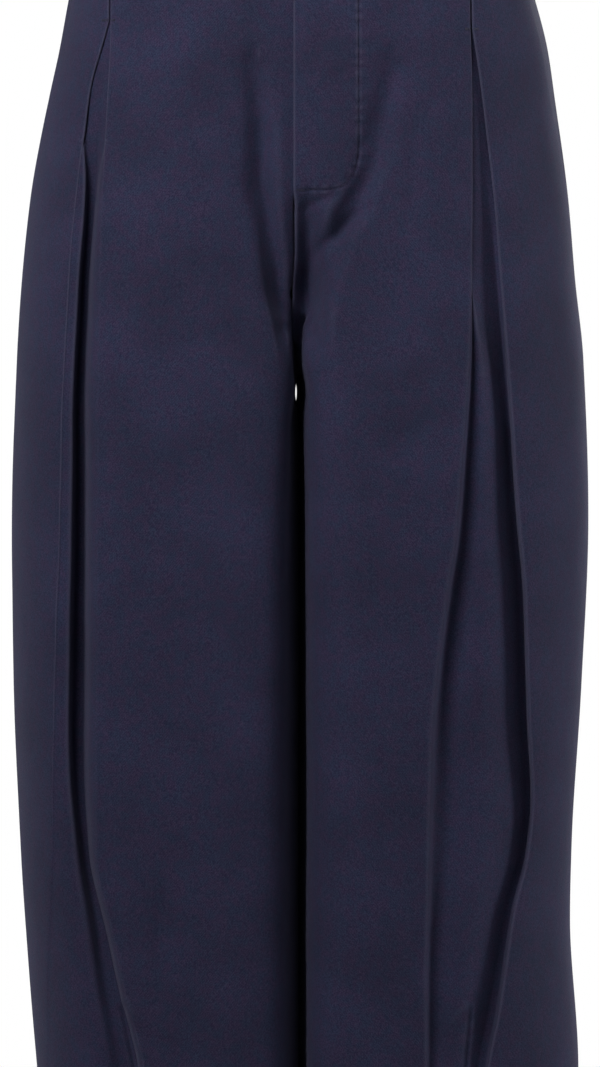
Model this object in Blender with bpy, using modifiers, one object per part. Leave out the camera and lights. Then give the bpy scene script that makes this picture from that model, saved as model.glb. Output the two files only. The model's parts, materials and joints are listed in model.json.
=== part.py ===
"""Wide pleated trousers with balloon legs, in the hollow form they have when worn.

The front faces -Y and +Z is up. The origin is the middle of the waist, at half the waistband's
height. Left and right are the wearer's, so the right leg is at -X. Sizes are in metres, and
"down" is the distance below the origin.
"""

import math

import bpy
import bmesh
import numpy as np
from mathutils import Matrix, Vector

# Cloth and seams
CLOTH = 0.0012
FACING_CLOTH = 0.0010
BAND_CLOTH = 0.0024
SEAM_GAP = 0.0003
LAYER_PITCH = 0.0026
TURN_RUN = 0.0035

# Levels
BAND_TOP = -0.0200
WAIST_SEAM = 0.0200
PLEAT_STOP = 0.0900
RISE_TURN = {"front": 0.2320, "back": 0.1950}
CROTCH = 0.3010
THIGH = 0.3450
HEM = 0.8950
HEM_TURN = 0.0260
HEM_FOLD = 0.0009

# Places across the body
SEAM_Y = 0.0040
INSEAM_Y = 0.0060
CENTRE_SHIFT = -0.0012
INNER_GAP = 0.0015
CENTRE_DIP = {"front": 0.0015, "back": 0.0040}

# Section shapes: 2 is an ellipse, more is squarer
OUTER_ROUNDNESS = 2.25
INNER_ROUNDNESS = {"right": 3.1, "left": 2.6}
CORNER_SHARP = 0.0140
LEGS_PART = 0.0140

# The inner walls of the legs wave past each other, except at the slit just under the crotch
WAVE_HEIGHT = 0.0021
WAVE_LENGTH = 0.1200
WAVE_FRONT = -0.0900
WAVE_REACH = 0.0200
WAVE_START = (0.2250, 0.2550)
SLIT = 0.3105
SLIT_REACH = 0.0110

# Fly, underlap and button
FLY_WIDTH = 0.0400
FLY_BOTTOM = 0.1890
FLY_FOOT = 0.0220
FLY_CORNER = 0.0260
FLY_LIFT = 0.0005
FLY_LIFT_REACH = 0.0060
UNDERLAP = 0.0350
UNDERLAP_DROP = 0.0029
UNDERLAP_RUN = 0.0120
BUTTON_RADIUS = 0.0085
BUTTON_RIM = 0.0012
BUTTON_HEIGHT = 0.0030
BUTTON_DISH = 0.0009
BUTTON_PLACE = 0.0170

# Pocket facing: it rises to the back panel's level where it shows more than FACING_LEVEL
FACING_TUCK = 0.0100
FACING_DROP = 0.0018
FACING_LEVEL = 0.0120
FACING_TOP = 0.0205

# Half widths and depths of the body, by level
BODY_COLUMNS = ("down", "right", "left", "front", "back", "front_crest", "back_crest")
BODY = (
    (-0.0200, 0.1190, 0.1190, 0.0830, 0.0850, 0.030, 0.040),
    (0.0200, 0.1240, 0.1250, 0.0870, 0.0910, 0.033, 0.044),
    (0.0760, 0.1360, 0.1430, 0.0920, 0.1020, 0.038, 0.052),
    (0.1060, 0.1415, 0.1505, 0.0940, 0.1070, 0.042, 0.056),
    (0.1360, 0.1480, 0.1550, 0.0950, 0.1100, 0.047, 0.060),
    (0.1960, 0.1590, 0.1630, 0.0960, 0.1110, 0.058, 0.066),
    (0.2440, 0.1640, 0.1670, 0.0965, 0.1080, 0.068, 0.072),
    (0.2920, 0.1670, 0.1720, 0.0970, 0.1040, 0.076, 0.077),
    (0.3880, 0.1700, 0.1750, 0.0980, 0.1000, 0.082, 0.082),
    (0.4840, 0.1690, 0.1710, 0.0970, 0.0990, 0.082, 0.082),
    (0.5800, 0.1650, 0.1650, 0.0940, 0.0970, 0.080, 0.080),
    (0.6280, 0.1620, 0.1640, 0.0920, 0.0950, 0.079, 0.080),
    (0.7160, 0.1550, 0.1690, 0.0860, 0.0900, 0.076, 0.082),
    (0.8000, 0.1460, 0.1590, 0.0780, 0.0820, 0.072, 0.078),
    (0.8950, 0.1340, 0.1420, 0.0690, 0.0720, 0.066, 0.070),
)

# Depth of the rounded inner corner of each leg, by level
CORNER_COLUMNS = ("down", "front", "back")
CORNER = (
    (0.1950, 0.0, 0.0),
    (0.2320, 0.0, 0.0060),
    (0.2620, 0.0085, 0.0190),
    (0.2800, 0.0230, 0.0310),
    (0.3010, 0.0430, 0.0470),
    (0.3300, 0.0630, 0.0650),
    (0.3800, 0.0860, 0.0840),
    (0.4500, 0.1000, 0.0960),
    (0.8950, 0.0720, 0.0740),
)

# Length of the visible pocket facing, from the mouth's edge to the side seam, by level
MOUTH_COLUMNS = ("down", "right", "left")
MOUTH = (
    (-0.0200, 0.0300, 0.0310),
    (0.0200, 0.0290, 0.0305),
    (0.0760, 0.0280, 0.0300),
    (0.1060, 0.0220, 0.0290),
    (0.1300, 0.0110, 0.0270),
    (0.1480, 0.0030, 0.0240),
    (0.1660, 0.0, 0.0190),
    (0.1960, 0.0, 0.0060),
    (0.2140, 0.0, 0.0),
    (0.8950, 0.0, 0.0),
)

# Inverted box pleats: how far out the two fold edges and the groove between them lie, the
# groove's depth, how far the folds tuck under, and how far the pleat has opened into a groove
PLEAT_COLUMNS = ("down", "inner_fold", "groove", "outer_fold", "depth", "tuck", "open")
PLEATS = {
    "right": (
        (0.0200, 0.0953, 0.0964, 0.0975, 0.0054, 0.0170, 0.0),
        (0.0900, 0.1083, 0.1094, 0.1105, 0.0054, 0.0175, 0.0),
        (0.1290, 0.1100, 0.1150, 0.1210, 0.0064, 0.0125, 0.0),
        (0.1620, 0.1115, 0.1165, 0.1252, 0.0082, 0.0060, 0.0),
        (0.1884, 0.1120, 0.1180, 0.1275, 0.0100, 0.0015, 0.20),
        (0.2200, 0.1130, 0.1200, 0.1310, 0.0118, 0.0, 0.70),
        (0.2556, 0.1140, 0.1225, 0.1335, 0.0130, 0.0, 1.0),
        (0.3192, 0.1150, 0.1260, 0.1365, 0.0145, 0.0, 1.0),
        (0.3960, 0.1165, 0.1275, 0.1392, 0.0150, 0.0, 1.0),
        (0.4600, 0.1180, 0.1275, 0.1410, 0.0140, 0.0, 1.0),
        (0.5240, 0.1165, 0.1260, 0.1420, 0.0120, 0.0, 1.0),
        (0.5880, 0.1120, 0.1235, 0.1430, 0.0092, 0.0, 1.0),
        (0.6520, 0.1030, 0.1150, 0.1450, 0.0060, 0.0, 1.0),
        (0.7160, 0.0860, 0.0970, 0.1450, 0.0036, 0.0, 1.0),
        (0.8950, 0.0720, 0.0820, 0.1250, 0.0022, 0.0, 1.0),
    ),
    "left": (
        (0.0200, 0.0953, 0.0964, 0.0975, 0.0054, 0.0170, 0.0),
        (0.0950, 0.1028, 0.1039, 0.1050, 0.0054, 0.0175, 0.0),
        (0.1404, 0.1035, 0.1065, 0.1100, 0.0062, 0.0150, 0.0),
        (0.1884, 0.1035, 0.1075, 0.1155, 0.0078, 0.0100, 0.0),
        (0.2520, 0.1030, 0.1085, 0.1205, 0.0100, 0.0025, 0.10),
        (0.3160, 0.1005, 0.1110, 0.1255, 0.0125, 0.0, 0.75),
        (0.3800, 0.0960, 0.1190, 0.1305, 0.0150, 0.0, 1.0),
        (0.4280, 0.0900, 0.1275, 0.1342, 0.0170, 0.0, 1.0),
        (0.4760, 0.0840, 0.1312, 0.1360, 0.0180, 0.0, 1.0),
        (0.5080, 0.0810, 0.1325, 0.1372, 0.0175, 0.0, 1.0),
        (0.5400, 0.0785, 0.1325, 0.1395, 0.0155, 0.0, 1.0),
        (0.5880, 0.0770, 0.1280, 0.1410, 0.0125, 0.0, 1.0),
        (0.6360, 0.0770, 0.1215, 0.1420, 0.0098, 0.0, 1.0),
        (0.7160, 0.0770, 0.1110, 0.1400, 0.0056, 0.0, 1.0),
        (0.8950, 0.0700, 0.0960, 0.1250, 0.0024, 0.0, 1.0),
    ),
}

# The flank of an opened pleat, from the fold edge to the groove: share of the way across and
# share of the depth. The groove's bottom is flat for GROOVE_HALF each way.
PLEAT_FLANK = ((0.0, 0.0), (0.15, 0.06), (0.35, 0.18), (0.56, 0.38), (0.76, 0.68), (0.91, 0.93))
GROOVE_HALF = 0.0010

# Folds pressed into the cloth by wear: height out of the cloth (a trough is below 0), half
# width, and the path it follows, which is a run of places (across from the middle, down)
FOLDS = {
    "front_right": (
        ("crotch drag", -0.0042, 0.0080, "to the crotch"),
        ("thigh drag", -0.0012, 0.0110, "down the thigh"),
        ("hem dart", -0.0014, 0.0035, "dart of the right hem"),
        ("knee bulge", 0.0022, 0.0200, "over the knee"),
        ("knee hollow", -0.0018, 0.0090, "beside the knee"),
    ),
    "front_left": (
        ("fly drag", -0.0030, 0.0075, "from the fly to the crotch"),
        ("upper drag", -0.0014, 0.0100, "beside the fly"),
        ("thigh hollow", -0.0014, 0.0240, "inside the thigh"),
        ("hem dart", -0.0014, 0.0035, "dart of the left hem"),
    ),
    "back_right": (
        ("seat drag", -0.0030, 0.0120, "under the right seat"),
        ("side fold", -0.0040, 0.0130, "down the right back, outside"),
        ("inner fold", -0.0026, 0.0130, "down the right back, inside"),
    ),
    "back_left": (
        ("seat drag", -0.0028, 0.0120, "under the left seat"),
        ("side fold", -0.0045, 0.0140, "down the left back, outside"),
        ("inner fold", -0.0024, 0.0120, "down the left back, inside"),
    ),
}
# Where along its path a fold starts and stops, as a share of the sine that tapers it
FOLD_END = 0.06
FOLD_PATHS = {
    "to the crotch": ((0.024, 0.125), (0.021, 0.188), (0.0165, 0.222), (0.0065, 0.266)),
    "down the thigh": ((0.060, 0.180), (0.045, 0.260), (0.030, 0.330)),
    "dart of the right hem": ((0.1065, 0.662), (0.0965, 0.716), (0.0850, 0.800), (0.0800, 0.895)),
    "over the knee": ((0.100, 0.640), (0.096, 0.700)),
    "beside the knee": ((0.078, 0.615), (0.080, 0.670)),
    "from the fly to the crotch": ((0.053, 0.140), (0.043, 0.180), (0.026, 0.212), (0.003, 0.270)),
    "beside the fly": ((0.072, 0.146), (0.066, 0.205)),
    "inside the thigh": ((0.044, 0.480), (0.042, 0.520)),
    "dart of the left hem": ((0.1035, 0.668), (0.1010, 0.716), (0.0960, 0.800), (0.0930, 0.895)),
    "under the right seat": ((0.030, 0.230), (0.055, 0.300), (0.070, 0.380)),
    "down the right back, outside": ((0.120, 0.250), (0.118, 0.420), (0.112, 0.620), (0.098, 0.800)),
    "down the right back, inside": ((0.060, 0.430), (0.056, 0.600), (0.052, 0.780)),
    "under the left seat": ((0.028, 0.240), (0.050, 0.310), (0.062, 0.400)),
    "down the left back, outside": ((0.124, 0.230), (0.122, 0.400), (0.118, 0.600), (0.106, 0.790)),
    "down the left back, inside": ((0.066, 0.470), (0.060, 0.620), (0.055, 0.760)),
}

# Number of spans of the rings
CENTRE_SPANS = 12
SIDE_SPANS = 4
BACK_SPANS = 13
BAND_SPANS = 13
UNDERLAP_SPANS = 4
FACING_SPANS = {"down": 7, "across": 5}
BUTTON_STEPS = 28
# Places along the pleat's outline at which a ring has a point
PLEAT_STOPS = (0, 0.6, 1.1, 1.8, 2.4, 3.2, 4.2, 4.85, 5.5, 6.3, 7.5)
# Rows between the levels
ROW_SPANS = (("waist", 2), ("hip", 5), ("rise", 6), ("thigh", 3), ("leg", 12))

COLOURS = {
    "cloth": (0.030, 0.031, 0.061, 1.0),
    "inner cloth": (0.026, 0.027, 0.052, 1.0),
    "button": (0.012, 0.012, 0.020, 1.0),
}


def smooth_curve(at, knots, values):
    """The height at `at` of a smooth curve through the values, which doesn't overshoot them."""
    knots = np.asarray(knots, float)
    values = np.asarray(values, float)
    steps = np.diff(knots)
    slopes = np.diff(values) / steps
    before, after = slopes[:-1], slopes[1:]
    product = before * after
    total = np.where(product > 0, before + after, 1.0)
    inner = np.where(product > 0, 2 * product / total, 0.0)
    tangents = np.concatenate([slopes[:1], inner, slopes[-1:]])
    at = float(np.clip(at, knots[0], knots[-1]))
    k = int(np.clip(np.searchsorted(knots, at) - 1, 0, len(steps) - 1))
    t = (at - knots[k]) / steps[k]
    ends = (1 + 2 * t) * (1 - t) ** 2 * values[k] + t * t * (3 - 2 * t) * values[k + 1]
    bends = t * (1 - t) ** 2 * tangents[k] - t * t * (1 - t) * tangents[k + 1]
    return ends + bends * steps[k]


def read(table, columns, name, down):
    """A column of a table, smoothly between its rows."""
    where = columns.index(name)
    return smooth_curve(down, [row[0] for row in table], [row[where] for row in table])


def ease(value, start, end):
    """From 0 at start to 1 at end, with a smooth start and end."""
    t = min(max((value - start) / (end - start), 0.0), 1.0)
    return t * t * (3 - 2 * t)


def sign(side):
    return 1.0 if side == "left" else -1.0


def centre_end(half, down, depth):
    """Depth of the section at the crotch curve or the inseam, where a panel's inner edge lies."""
    at_centre = -depth + CENTRE_DIP[half]
    inseam = -INSEAM_Y if half == "back" else INSEAM_Y
    t = min(max((down - RISE_TURN[half]) / (CROTCH - RISE_TURN[half]), 0.0), 1.0)
    return at_centre + (inseam - at_centre) * (1 - math.sqrt(1 - t * t))


def base_curve(side, half, down, samples=200):
    """The plain section of half a leg, from the middle of the body round to the side seam.

    Gives the places, as (out, back), the length along the curve and the outward directions.
    A back section is worked out as a front one and then turned to face +Y.
    """
    width = read(BODY, BODY_COLUMNS, side, down)
    depth = read(BODY, BODY_COLUMNS, half, down)
    crest = read(BODY, BODY_COLUMNS, half + "_crest", down)
    corner = read(CORNER, CORNER_COLUMNS, half, down)
    seam = SEAM_Y if half == "front" else -SEAM_Y
    leg = ease(corner, 0.0, CORNER_SHARP)
    wall = SEAM_GAP / 2 + leg * CLOTH / 2
    inner = wall + (INNER_GAP - CLOTH / 2) * ease(down, CROTCH, CROTCH + LEGS_PART)

    turn = np.linspace(0, math.pi / 2, samples)
    run = turn / (math.pi / 2)
    end = centre_end(half, down, depth)
    drop = min(CENTRE_DIP[half] + corner, end + depth)
    power = 2 / INNER_ROUNDNESS[side]
    flat = np.stack([inner + (crest - inner) * run, -depth + drop * (1 - run) ** 2], 1)
    out = crest - (crest - inner) * np.cos(turn).clip(0) ** power
    back = drop - drop * np.sin(turn) ** power - depth
    flat = (1 - leg) * flat + leg * np.stack([out, back], 1)
    if end > flat[0, 1] + SEAM_GAP:
        flat = np.concatenate([[[inner, end]], flat])

    power = 2 / OUTER_ROUNDNESS
    out = crest + (width - crest) * np.sin(turn) ** power
    back = seam - (seam + depth) * np.cos(turn).clip(0) ** power
    places = np.concatenate([flat, np.stack([out, back], 1)[1:]])

    steps = np.linalg.norm(np.diff(places, axis=0), axis=1)
    length = np.concatenate([[0.0], np.cumsum(steps)])
    even = np.linspace(0, length[-1], 2 * samples)
    places = np.stack([np.interp(even, length, places[:, k]) for k in (0, 1)], 1)
    along = np.gradient(places, even, axis=0)
    along /= np.linalg.norm(along, axis=1)[:, None]
    outward = np.stack([along[:, 1], -along[:, 0]], 1)
    if half == "back":
        places[:, 1] *= -1
        outward[:, 1] *= -1
    return places, even, outward


def stations(places, length, end, spans):
    """Lengths from the middle to `end` for the columns of a ring, closer together round bends."""
    ways = np.diff(places, axis=0)
    angles = np.unwrap(np.arctan2(ways[:, 1], ways[:, 0]))
    turned = np.concatenate([[0.0], np.cumsum(np.abs(np.diff(angles)))])
    middles = (length[1:] + length[:-1]) / 2
    measure = np.interp(length, middles, turned) / (math.pi / 2) + length / end
    last = float(np.interp(end, length, measure))
    return np.interp(np.linspace(measure[0], last, spans + 1), measure, length)


def fold_height(panel, out, down):
    """How far the worn-in folds lift the cloth at these places, an array `out` at one level."""
    height = np.zeros_like(out)
    for _, rise, reach, path in FOLDS.get(panel, ()):
        path = np.asarray(FOLD_PATHS[path])
        ends = np.diff(path, axis=0)
        lengths = np.linalg.norm(ends, axis=1)
        passed = np.concatenate([[0.0], np.cumsum(lengths)])
        best = np.full(out.shape, np.inf)
        where = np.zeros_like(out)
        for k, (start, way) in enumerate(zip(path[:-1], ends)):
            t = ((out - start[0]) * way[0] + (down - start[1]) * way[1]) / lengths[k] ** 2
            t = np.clip(t, 0, 1)
            far = np.hypot(out - start[0] - t * way[0], down - start[1] - t * way[1])
            nearer = far < best
            best = np.where(nearer, far, best)
            where = np.where(nearer, (passed[k] + t * lengths[k]) / passed[-1], where)
        taper = np.sqrt(np.sin(math.pi * (FOLD_END + (1 - 2 * FOLD_END) * where)))
        height += rise * taper * np.exp(-((best / reach) ** 2))
    return height


def fly_lift(side, along, down):
    """The left front's edge lies on the right front's along the fly."""
    fade = 1 - ease(down, FLY_BOTTOM, RISE_TURN["front"])
    return sign(side) * FLY_LIFT * fade * np.exp(-((along / FLY_LIFT_REACH) ** 2))


def place(side, half, down, along, sunk):
    """Points of the cloth at one level: `along` is the length from the middle, and `sunk` is how
    far below the plain section each lies."""
    places, length, outward = base_curve(side, half, down)
    along = np.asarray(along, float)
    at = np.stack([np.interp(along, length, places[:, k]) for k in (0, 1)], 1)
    way = np.stack([np.interp(along, length, outward[:, k]) for k in (0, 1)], 1)
    way /= np.linalg.norm(way, axis=1)[:, None]
    height = fold_height(half + "_" + side, at[:, 0], down)
    if half == "front":
        height = height + fly_lift(side, along, down)
    at = at + way * (height - sunk)[:, None]
    width = places[:, 0].max()
    shift = CENTRE_SHIFT * (1 - ease(down, RISE_TURN["front"], CROTCH)) if half == "front" else 0.0
    turn = 2 * math.pi * (at[:, 1] - WAVE_FRONT) / WAVE_LENGTH
    wave = WAVE_HEIGHT * ease(down, *WAVE_START) * np.sin(turn)
    wave = wave * (1 - math.exp(-(((down - SLIT) / SLIT_REACH) ** 2)))
    x = sign(side) * at[:, 0]
    x = x + shift * (1 - (at[:, 0] / width).clip(0, 1) ** 2)
    x = x + wave * np.exp(-((at[:, 0] / WAVE_REACH) ** 2))
    return np.stack([x, at[:, 1], np.full(len(at), -down)], 1)


def spline(controls, stops):
    """A smooth curve that rounds the corners of a run of control points and ends on its ends."""
    controls = np.asarray(controls, float)
    first = 2 * controls[0] - controls[1]
    last = 2 * controls[-1] - controls[-2]
    padded = np.concatenate([[first], controls, [last]])
    stops = np.asarray(stops, float)
    k = np.clip(np.floor(stops).astype(int), 0, len(controls) - 2)
    t = (stops - k)[:, None]
    weights = ((1 - t) ** 3, 3 * t**3 - 6 * t**2 + 4, -3 * t**3 + 3 * t**2 + 3 * t + 1, t**3)
    return sum(w * padded[k + n] for n, w in enumerate(weights)) / 6


def pleat_half(fold, groove, depth, tuck, opened, way):
    """Control points from just before a fold edge down to the groove, as (along, sunk). `way` is
    1 where the groove lies further along than the fold, and -1 where it lies before it."""
    closed = (
        (0.0, 0.0),
        (0.0, LAYER_PITCH),
        (-min(TURN_RUN, tuck / 2), LAYER_PITCH),
        (-tuck, LAYER_PITCH),
        (-tuck, 2 * LAYER_PITCH),
        (min(TURN_RUN, tuck / 2) - tuck, 2 * LAYER_PITCH),
    )
    reach = abs(groove - fold)
    points = [(fold - way * TURN_RUN * 2, 0.0)]
    for (x, y), (across, in_depth) in zip(closed, PLEAT_FLANK):
        along = (1 - opened) * x + opened * across * reach
        sunk = (1 - opened) * y + opened * in_depth * depth
        points.append((fold + way * along, sunk))
    points.append((groove - way * min(GROOVE_HALF, reach / 3), depth))
    return points


def pleat_controls(side, down, places, length):
    """Control points of the whole pleat, and the lengths along the section at which it starts
    and ends."""
    row = {name: read(PLEATS[side], PLEAT_COLUMNS, name, down) for name in PLEAT_COLUMNS[1:]}
    crest = int(np.argmin(places[:, 1]))
    rising = slice(crest, None)
    inner, groove, outer = (
        float(np.interp(row[name], places[rising, 0], length[rising]))
        for name in ("inner_fold", "groove", "outer_fold")
    )
    first = pleat_half(inner, groove, row["depth"], row["tuck"], row["open"], 1)
    second = pleat_half(outer, groove, row["depth"], row["tuck"], row["open"], -1)
    return first + second[::-1], first[0][0], second[0][0]


def mouth(side, down):
    return read(MOUTH, MOUTH_COLUMNS, side, down)


def front_ring(side, down, inward):
    """One level of a front panel, from the centre front or inseam to the pocket or side seam."""
    places, length, _ = base_curve(side, "front", down)
    pleat, start, end = pleat_controls(side, down, places, length)
    edge = length[-1] - mouth(side, down)
    centre = [(x, 0.0) for x in stations(places, length, start, CENTRE_SPANS)[:-1]]
    flank = [(x, 0.0) for x in np.linspace(end, edge, SIDE_SPANS + 1)[1:]]
    controls = centre + pleat + flank
    half = [CENTRE_SPANS + stop for stop in PLEAT_STOPS]
    far = CENTRE_SPANS + len(pleat) - 1
    other = [far - stop for stop in PLEAT_STOPS[-2::-1]]
    stops = list(range(CENTRE_SPANS)) + half + other + [far + k for k in range(1, SIDE_SPANS + 1)]
    curve = spline(controls, stops)
    return place(side, "front", down, curve[:, 0], curve[:, 1] + inward)


def back_ring(side, down, inward):
    """One level of a back panel, from the centre back or inseam to the side seam."""
    places, length, _ = base_curve(side, "back", down)
    along = stations(places, length, length[-1], BACK_SPANS)
    return place(side, "back", down, along, np.full(len(along), inward))


def panel_rows():
    """Each row of a panel from the waist seam to the hem and up its turned edge, as (down, how
    far inside the wall it lies)."""
    spans = dict(ROW_SPANS)
    rows = list(np.linspace(WAIST_SEAM + SEAM_GAP, PLEAT_STOP, spans["waist"] + 1)[:-1])
    rows += list(np.linspace(PLEAT_STOP, RISE_TURN["front"], spans["hip"] + 1)[:-1])
    quarter = np.linspace(0, math.pi / 2, spans["rise"] + 1)[:-1]
    rows += list(RISE_TURN["front"] + (CROTCH - RISE_TURN["front"]) * np.sin(quarter))
    rows += list(np.linspace(CROTCH, THIGH, spans["thigh"] + 1)[:-1])
    rows += list(np.linspace(THIGH, HEM - HEM_TURN, spans["leg"] + 1))
    turned = ((HEM - HEM_FOLD, 0.0), (HEM, HEM_FOLD), (HEM - HEM_FOLD, 2 * HEM_FOLD))
    return [(down, 0.0) for down in rows] + list(turned) + [(HEM - HEM_TURN, 2 * HEM_FOLD)]


def panel_rings(side, half):
    """A panel's levels. Its side seam and inseam stay half a gap away from the other panel."""
    make = front_ring if half == "front" else back_ring
    step = SEAM_GAP / 2 * (-1 if half == "front" else 1)
    rings = []
    for down, inward in panel_rows():
        ring = make(side, down, inward)
        ring[-1, 1] += step
        if down >= CROTCH:
            ring[0, 1] += step
        rings.append(ring)
    return rings


def facing_rings(side):
    """The pocket facing: under the front panel's edge, then out to the side seam."""
    closes = MOUTH_COLUMNS.index(side)
    last = next(row[0] for row in MOUTH if row[closes] == 0)
    rings = []
    for down in np.linspace(FACING_TOP, last, FACING_SPANS["down"] + 1):
        length = base_curve(side, "front", down)[1][-1]
        open_width = mouth(side, down)
        start = length - open_width - FACING_TUCK
        along = np.linspace(start, length - 2 * SEAM_GAP, FACING_SPANS["across"] + 1)
        shown = ((along - start - FACING_TUCK) / max(open_width, SEAM_GAP)).clip(0, 1)
        level = ease(open_width, 0.0, FACING_LEVEL)
        sunk = FACING_DROP * (1 - level * shown * shown)
        rings.append(place(side, "front", down, along, sunk))
    return rings


def fly_width(down):
    """Width of the fly facing: straight, then round its lower corner."""
    t = min(max((down - FLY_BOTTOM + FLY_CORNER) / FLY_CORNER, 0.0), 1.0)
    return FLY_FOOT + (FLY_WIDTH - FLY_FOOT) * math.sqrt(1 - t * t)


def fly_rings(front):
    """The fly facing: the left front's own points, moved in under it, and cut to the J shape."""
    sunk = CLOTH / 2 + 2 * SEAM_GAP + FACING_CLOTH / 2
    front = np.asarray(front)
    across = np.gradient(front, axis=1)
    down_way = np.gradient(front, axis=0)
    inward = np.cross(across, down_way)
    inward /= np.linalg.norm(inward, axis=2)[:, :, None]
    under = front + inward * sunk
    levels = -front[:, 0, 2]
    corner = FLY_BOTTOM - FLY_CORNER + FLY_CORNER * np.sin(np.linspace(0, math.pi / 2, 4))
    rows = [down for down in levels if down < corner[0] - TURN_RUN] + list(corner)
    count = int(np.argmax(np.linalg.norm(under[0, :, :2] - under[0, 0, :2], axis=1) > FLY_WIDTH))
    rings = []
    for down in rows:
        k = int(np.clip(np.searchsorted(levels, down) - 1, 0, len(levels) - 2))
        t = (down - levels[k]) / (levels[k + 1] - levels[k])
        line = (1 - t) * under[k] + t * under[k + 1]
        length = np.concatenate([[0.0], np.cumsum(np.linalg.norm(np.diff(line, axis=0), axis=1))])
        along = length[: count + 1] * fly_width(down) / length[count]
        along[0] = SEAM_GAP
        rings.append(np.stack([np.interp(along, length, line[:, n]) for n in range(3)], 1))
    return rings


def band_ring(down):
    """One level of the waistband, from its left end all round to the end of its underlap."""
    runs = []
    for side, half, backwards in (
        ("left", "front", False),
        ("left", "back", True),
        ("right", "back", False),
        ("right", "front", True),
    ):
        length = base_curve(side, half, down)[1][-1]
        along = np.linspace(0, length, BAND_SPANS + 1)
        sunk = np.zeros(len(along))
        if (side, half) == ("right", "front"):
            step = np.linspace(0, UNDERLAP_RUN, UNDERLAP_SPANS + 1)
            along = np.concatenate([step, along[2:]])
            sunk = np.array([UNDERLAP_DROP * (1 - ease(x, SEAM_GAP, UNDERLAP_RUN)) for x in along])
        points = place(side, half, down, along, sunk)
        points = points[::-1] if backwards else points
        runs.append(points[1:] if runs else points)
    along = np.linspace(0, UNDERLAP, UNDERLAP_SPANS + 1)[1:]
    runs.append(place("left", "front", down, along, np.full(len(along), UNDERLAP_DROP)))
    return np.concatenate(runs)


def material(name, colour, roughness):
    made = bpy.data.materials.new(name)
    made.use_nodes = True
    shader = made.node_tree.nodes["Principled BSDF"]
    shader.inputs["Base Color"].default_value = COLOURS[colour]
    shader.inputs["Roughness"].default_value = roughness
    shader.inputs["Metallic"].default_value = 0.0
    made.diffuse_color = COLOURS[colour]
    return made


def cloth_object(name, rings, wall, colour, collection):
    """A panel: a grid laid through the rings, given its wall by Solidify."""
    rows, columns = len(rings), len(rings[0])
    mesh = bpy.data.meshes.new(name)
    sheet = bmesh.new()
    bmesh.ops.create_grid(sheet, x_segments=columns - 1, y_segments=rows - 1, size=1.0)
    for vertex in sheet.verts:
        column = round((vertex.co.x + 1) / 2 * (columns - 1))
        row = round((1 - vertex.co.y) / 2 * (rows - 1))
        vertex.co = Vector(rings[row][column])
    sheet.to_mesh(mesh)
    sheet.free()
    mesh.materials.append(material(name + "_cloth", colour, 0.85))
    mesh.shade_smooth()
    panel = bpy.data.objects.new(name, mesh)
    collection.objects.link(panel)
    thickness = panel.modifiers.new("wall", "SOLIDIFY")
    thickness.thickness = wall
    thickness.offset = 0.0
    thickness.use_even_offset = True
    thickness.use_quality_normals = True
    return panel


def button_object(collection):
    """A dished button turned from a profile, on the waistband's outer face."""
    profile = (
        (0.0, BUTTON_HEIGHT - BUTTON_DISH),
        (BUTTON_RADIUS * 0.62, BUTTON_HEIGHT - BUTTON_DISH),
        (BUTTON_RADIUS * 0.74, BUTTON_HEIGHT),
        (BUTTON_RADIUS - BUTTON_RIM / 2, BUTTON_HEIGHT),
        (BUTTON_RADIUS, BUTTON_HEIGHT - BUTTON_RIM),
        (BUTTON_RADIUS, BUTTON_RIM),
        (BUTTON_RADIUS * 0.82, 0.0),
        (0.0, 0.0),
    )
    mesh = bpy.data.meshes.new("waist_button")
    outline = bmesh.new()
    corners = [outline.verts.new((x, 0.0, z)) for x, z in profile]
    for first, second in zip(corners, corners[1:]):
        outline.edges.new((first, second))
    outline.to_mesh(mesh)
    outline.free()
    mesh.materials.append(material("waist_button_horn", "button", 0.35))
    button = bpy.data.objects.new("waist_button", mesh)
    collection.objects.link(button)
    turned = button.modifiers.new("turn", "SCREW")
    turned.steps = BUTTON_STEPS
    turned.render_steps = BUTTON_STEPS
    turned.use_merge_vertices = True
    turned.merge_threshold = 0.00001
    beside = (BUTTON_PLACE - BUTTON_RADIUS, BUTTON_PLACE, BUTTON_PLACE + BUTTON_RADIUS)
    above, level, below = (
        place("left", "front", down, beside, np.zeros(3))
        for down in (-BUTTON_RADIUS, 0.0, BUTTON_RADIUS)
    )
    along = Vector(level[2] - level[0]).normalized()
    out = along.cross(Vector(above[1] - below[1])).normalized()
    up = out.cross(along)
    turn = Matrix((along, up, out)).transposed().to_4x4()
    centre = Vector(level[1]) + out * (BAND_CLOTH / 2 + 2 * SEAM_GAP)
    button.matrix_world = Matrix.Translation(centre) @ turn
    return button


def clear_scene():
    for thing in list(bpy.context.scene.objects):
        bpy.data.objects.remove(thing, do_unlink=True)


def main():
    clear_scene()
    trousers = bpy.data.collections.new("pleated_trousers")
    bpy.context.scene.collection.children.link(trousers)
    for side in ("right", "left"):
        for half in ("front", "back"):
            rings = panel_rings(side, half)
            cloth_object(half + "_" + side, rings, CLOTH, "cloth", trousers)
            if (side, half) == ("left", "front"):
                cloth_object("fly_facing", fly_rings(rings), FACING_CLOTH, "inner cloth", trousers)
        rings = facing_rings(side)
        cloth_object("pocket_facing_" + side, rings, FACING_CLOTH, "inner cloth", trousers)
    levels = np.linspace(WAIST_SEAM, BAND_TOP, 4)
    cloth_object("waistband", [band_ring(down) for down in levels], BAND_CLOTH, "cloth", trousers)
    button_object(trousers)


main()
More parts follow.
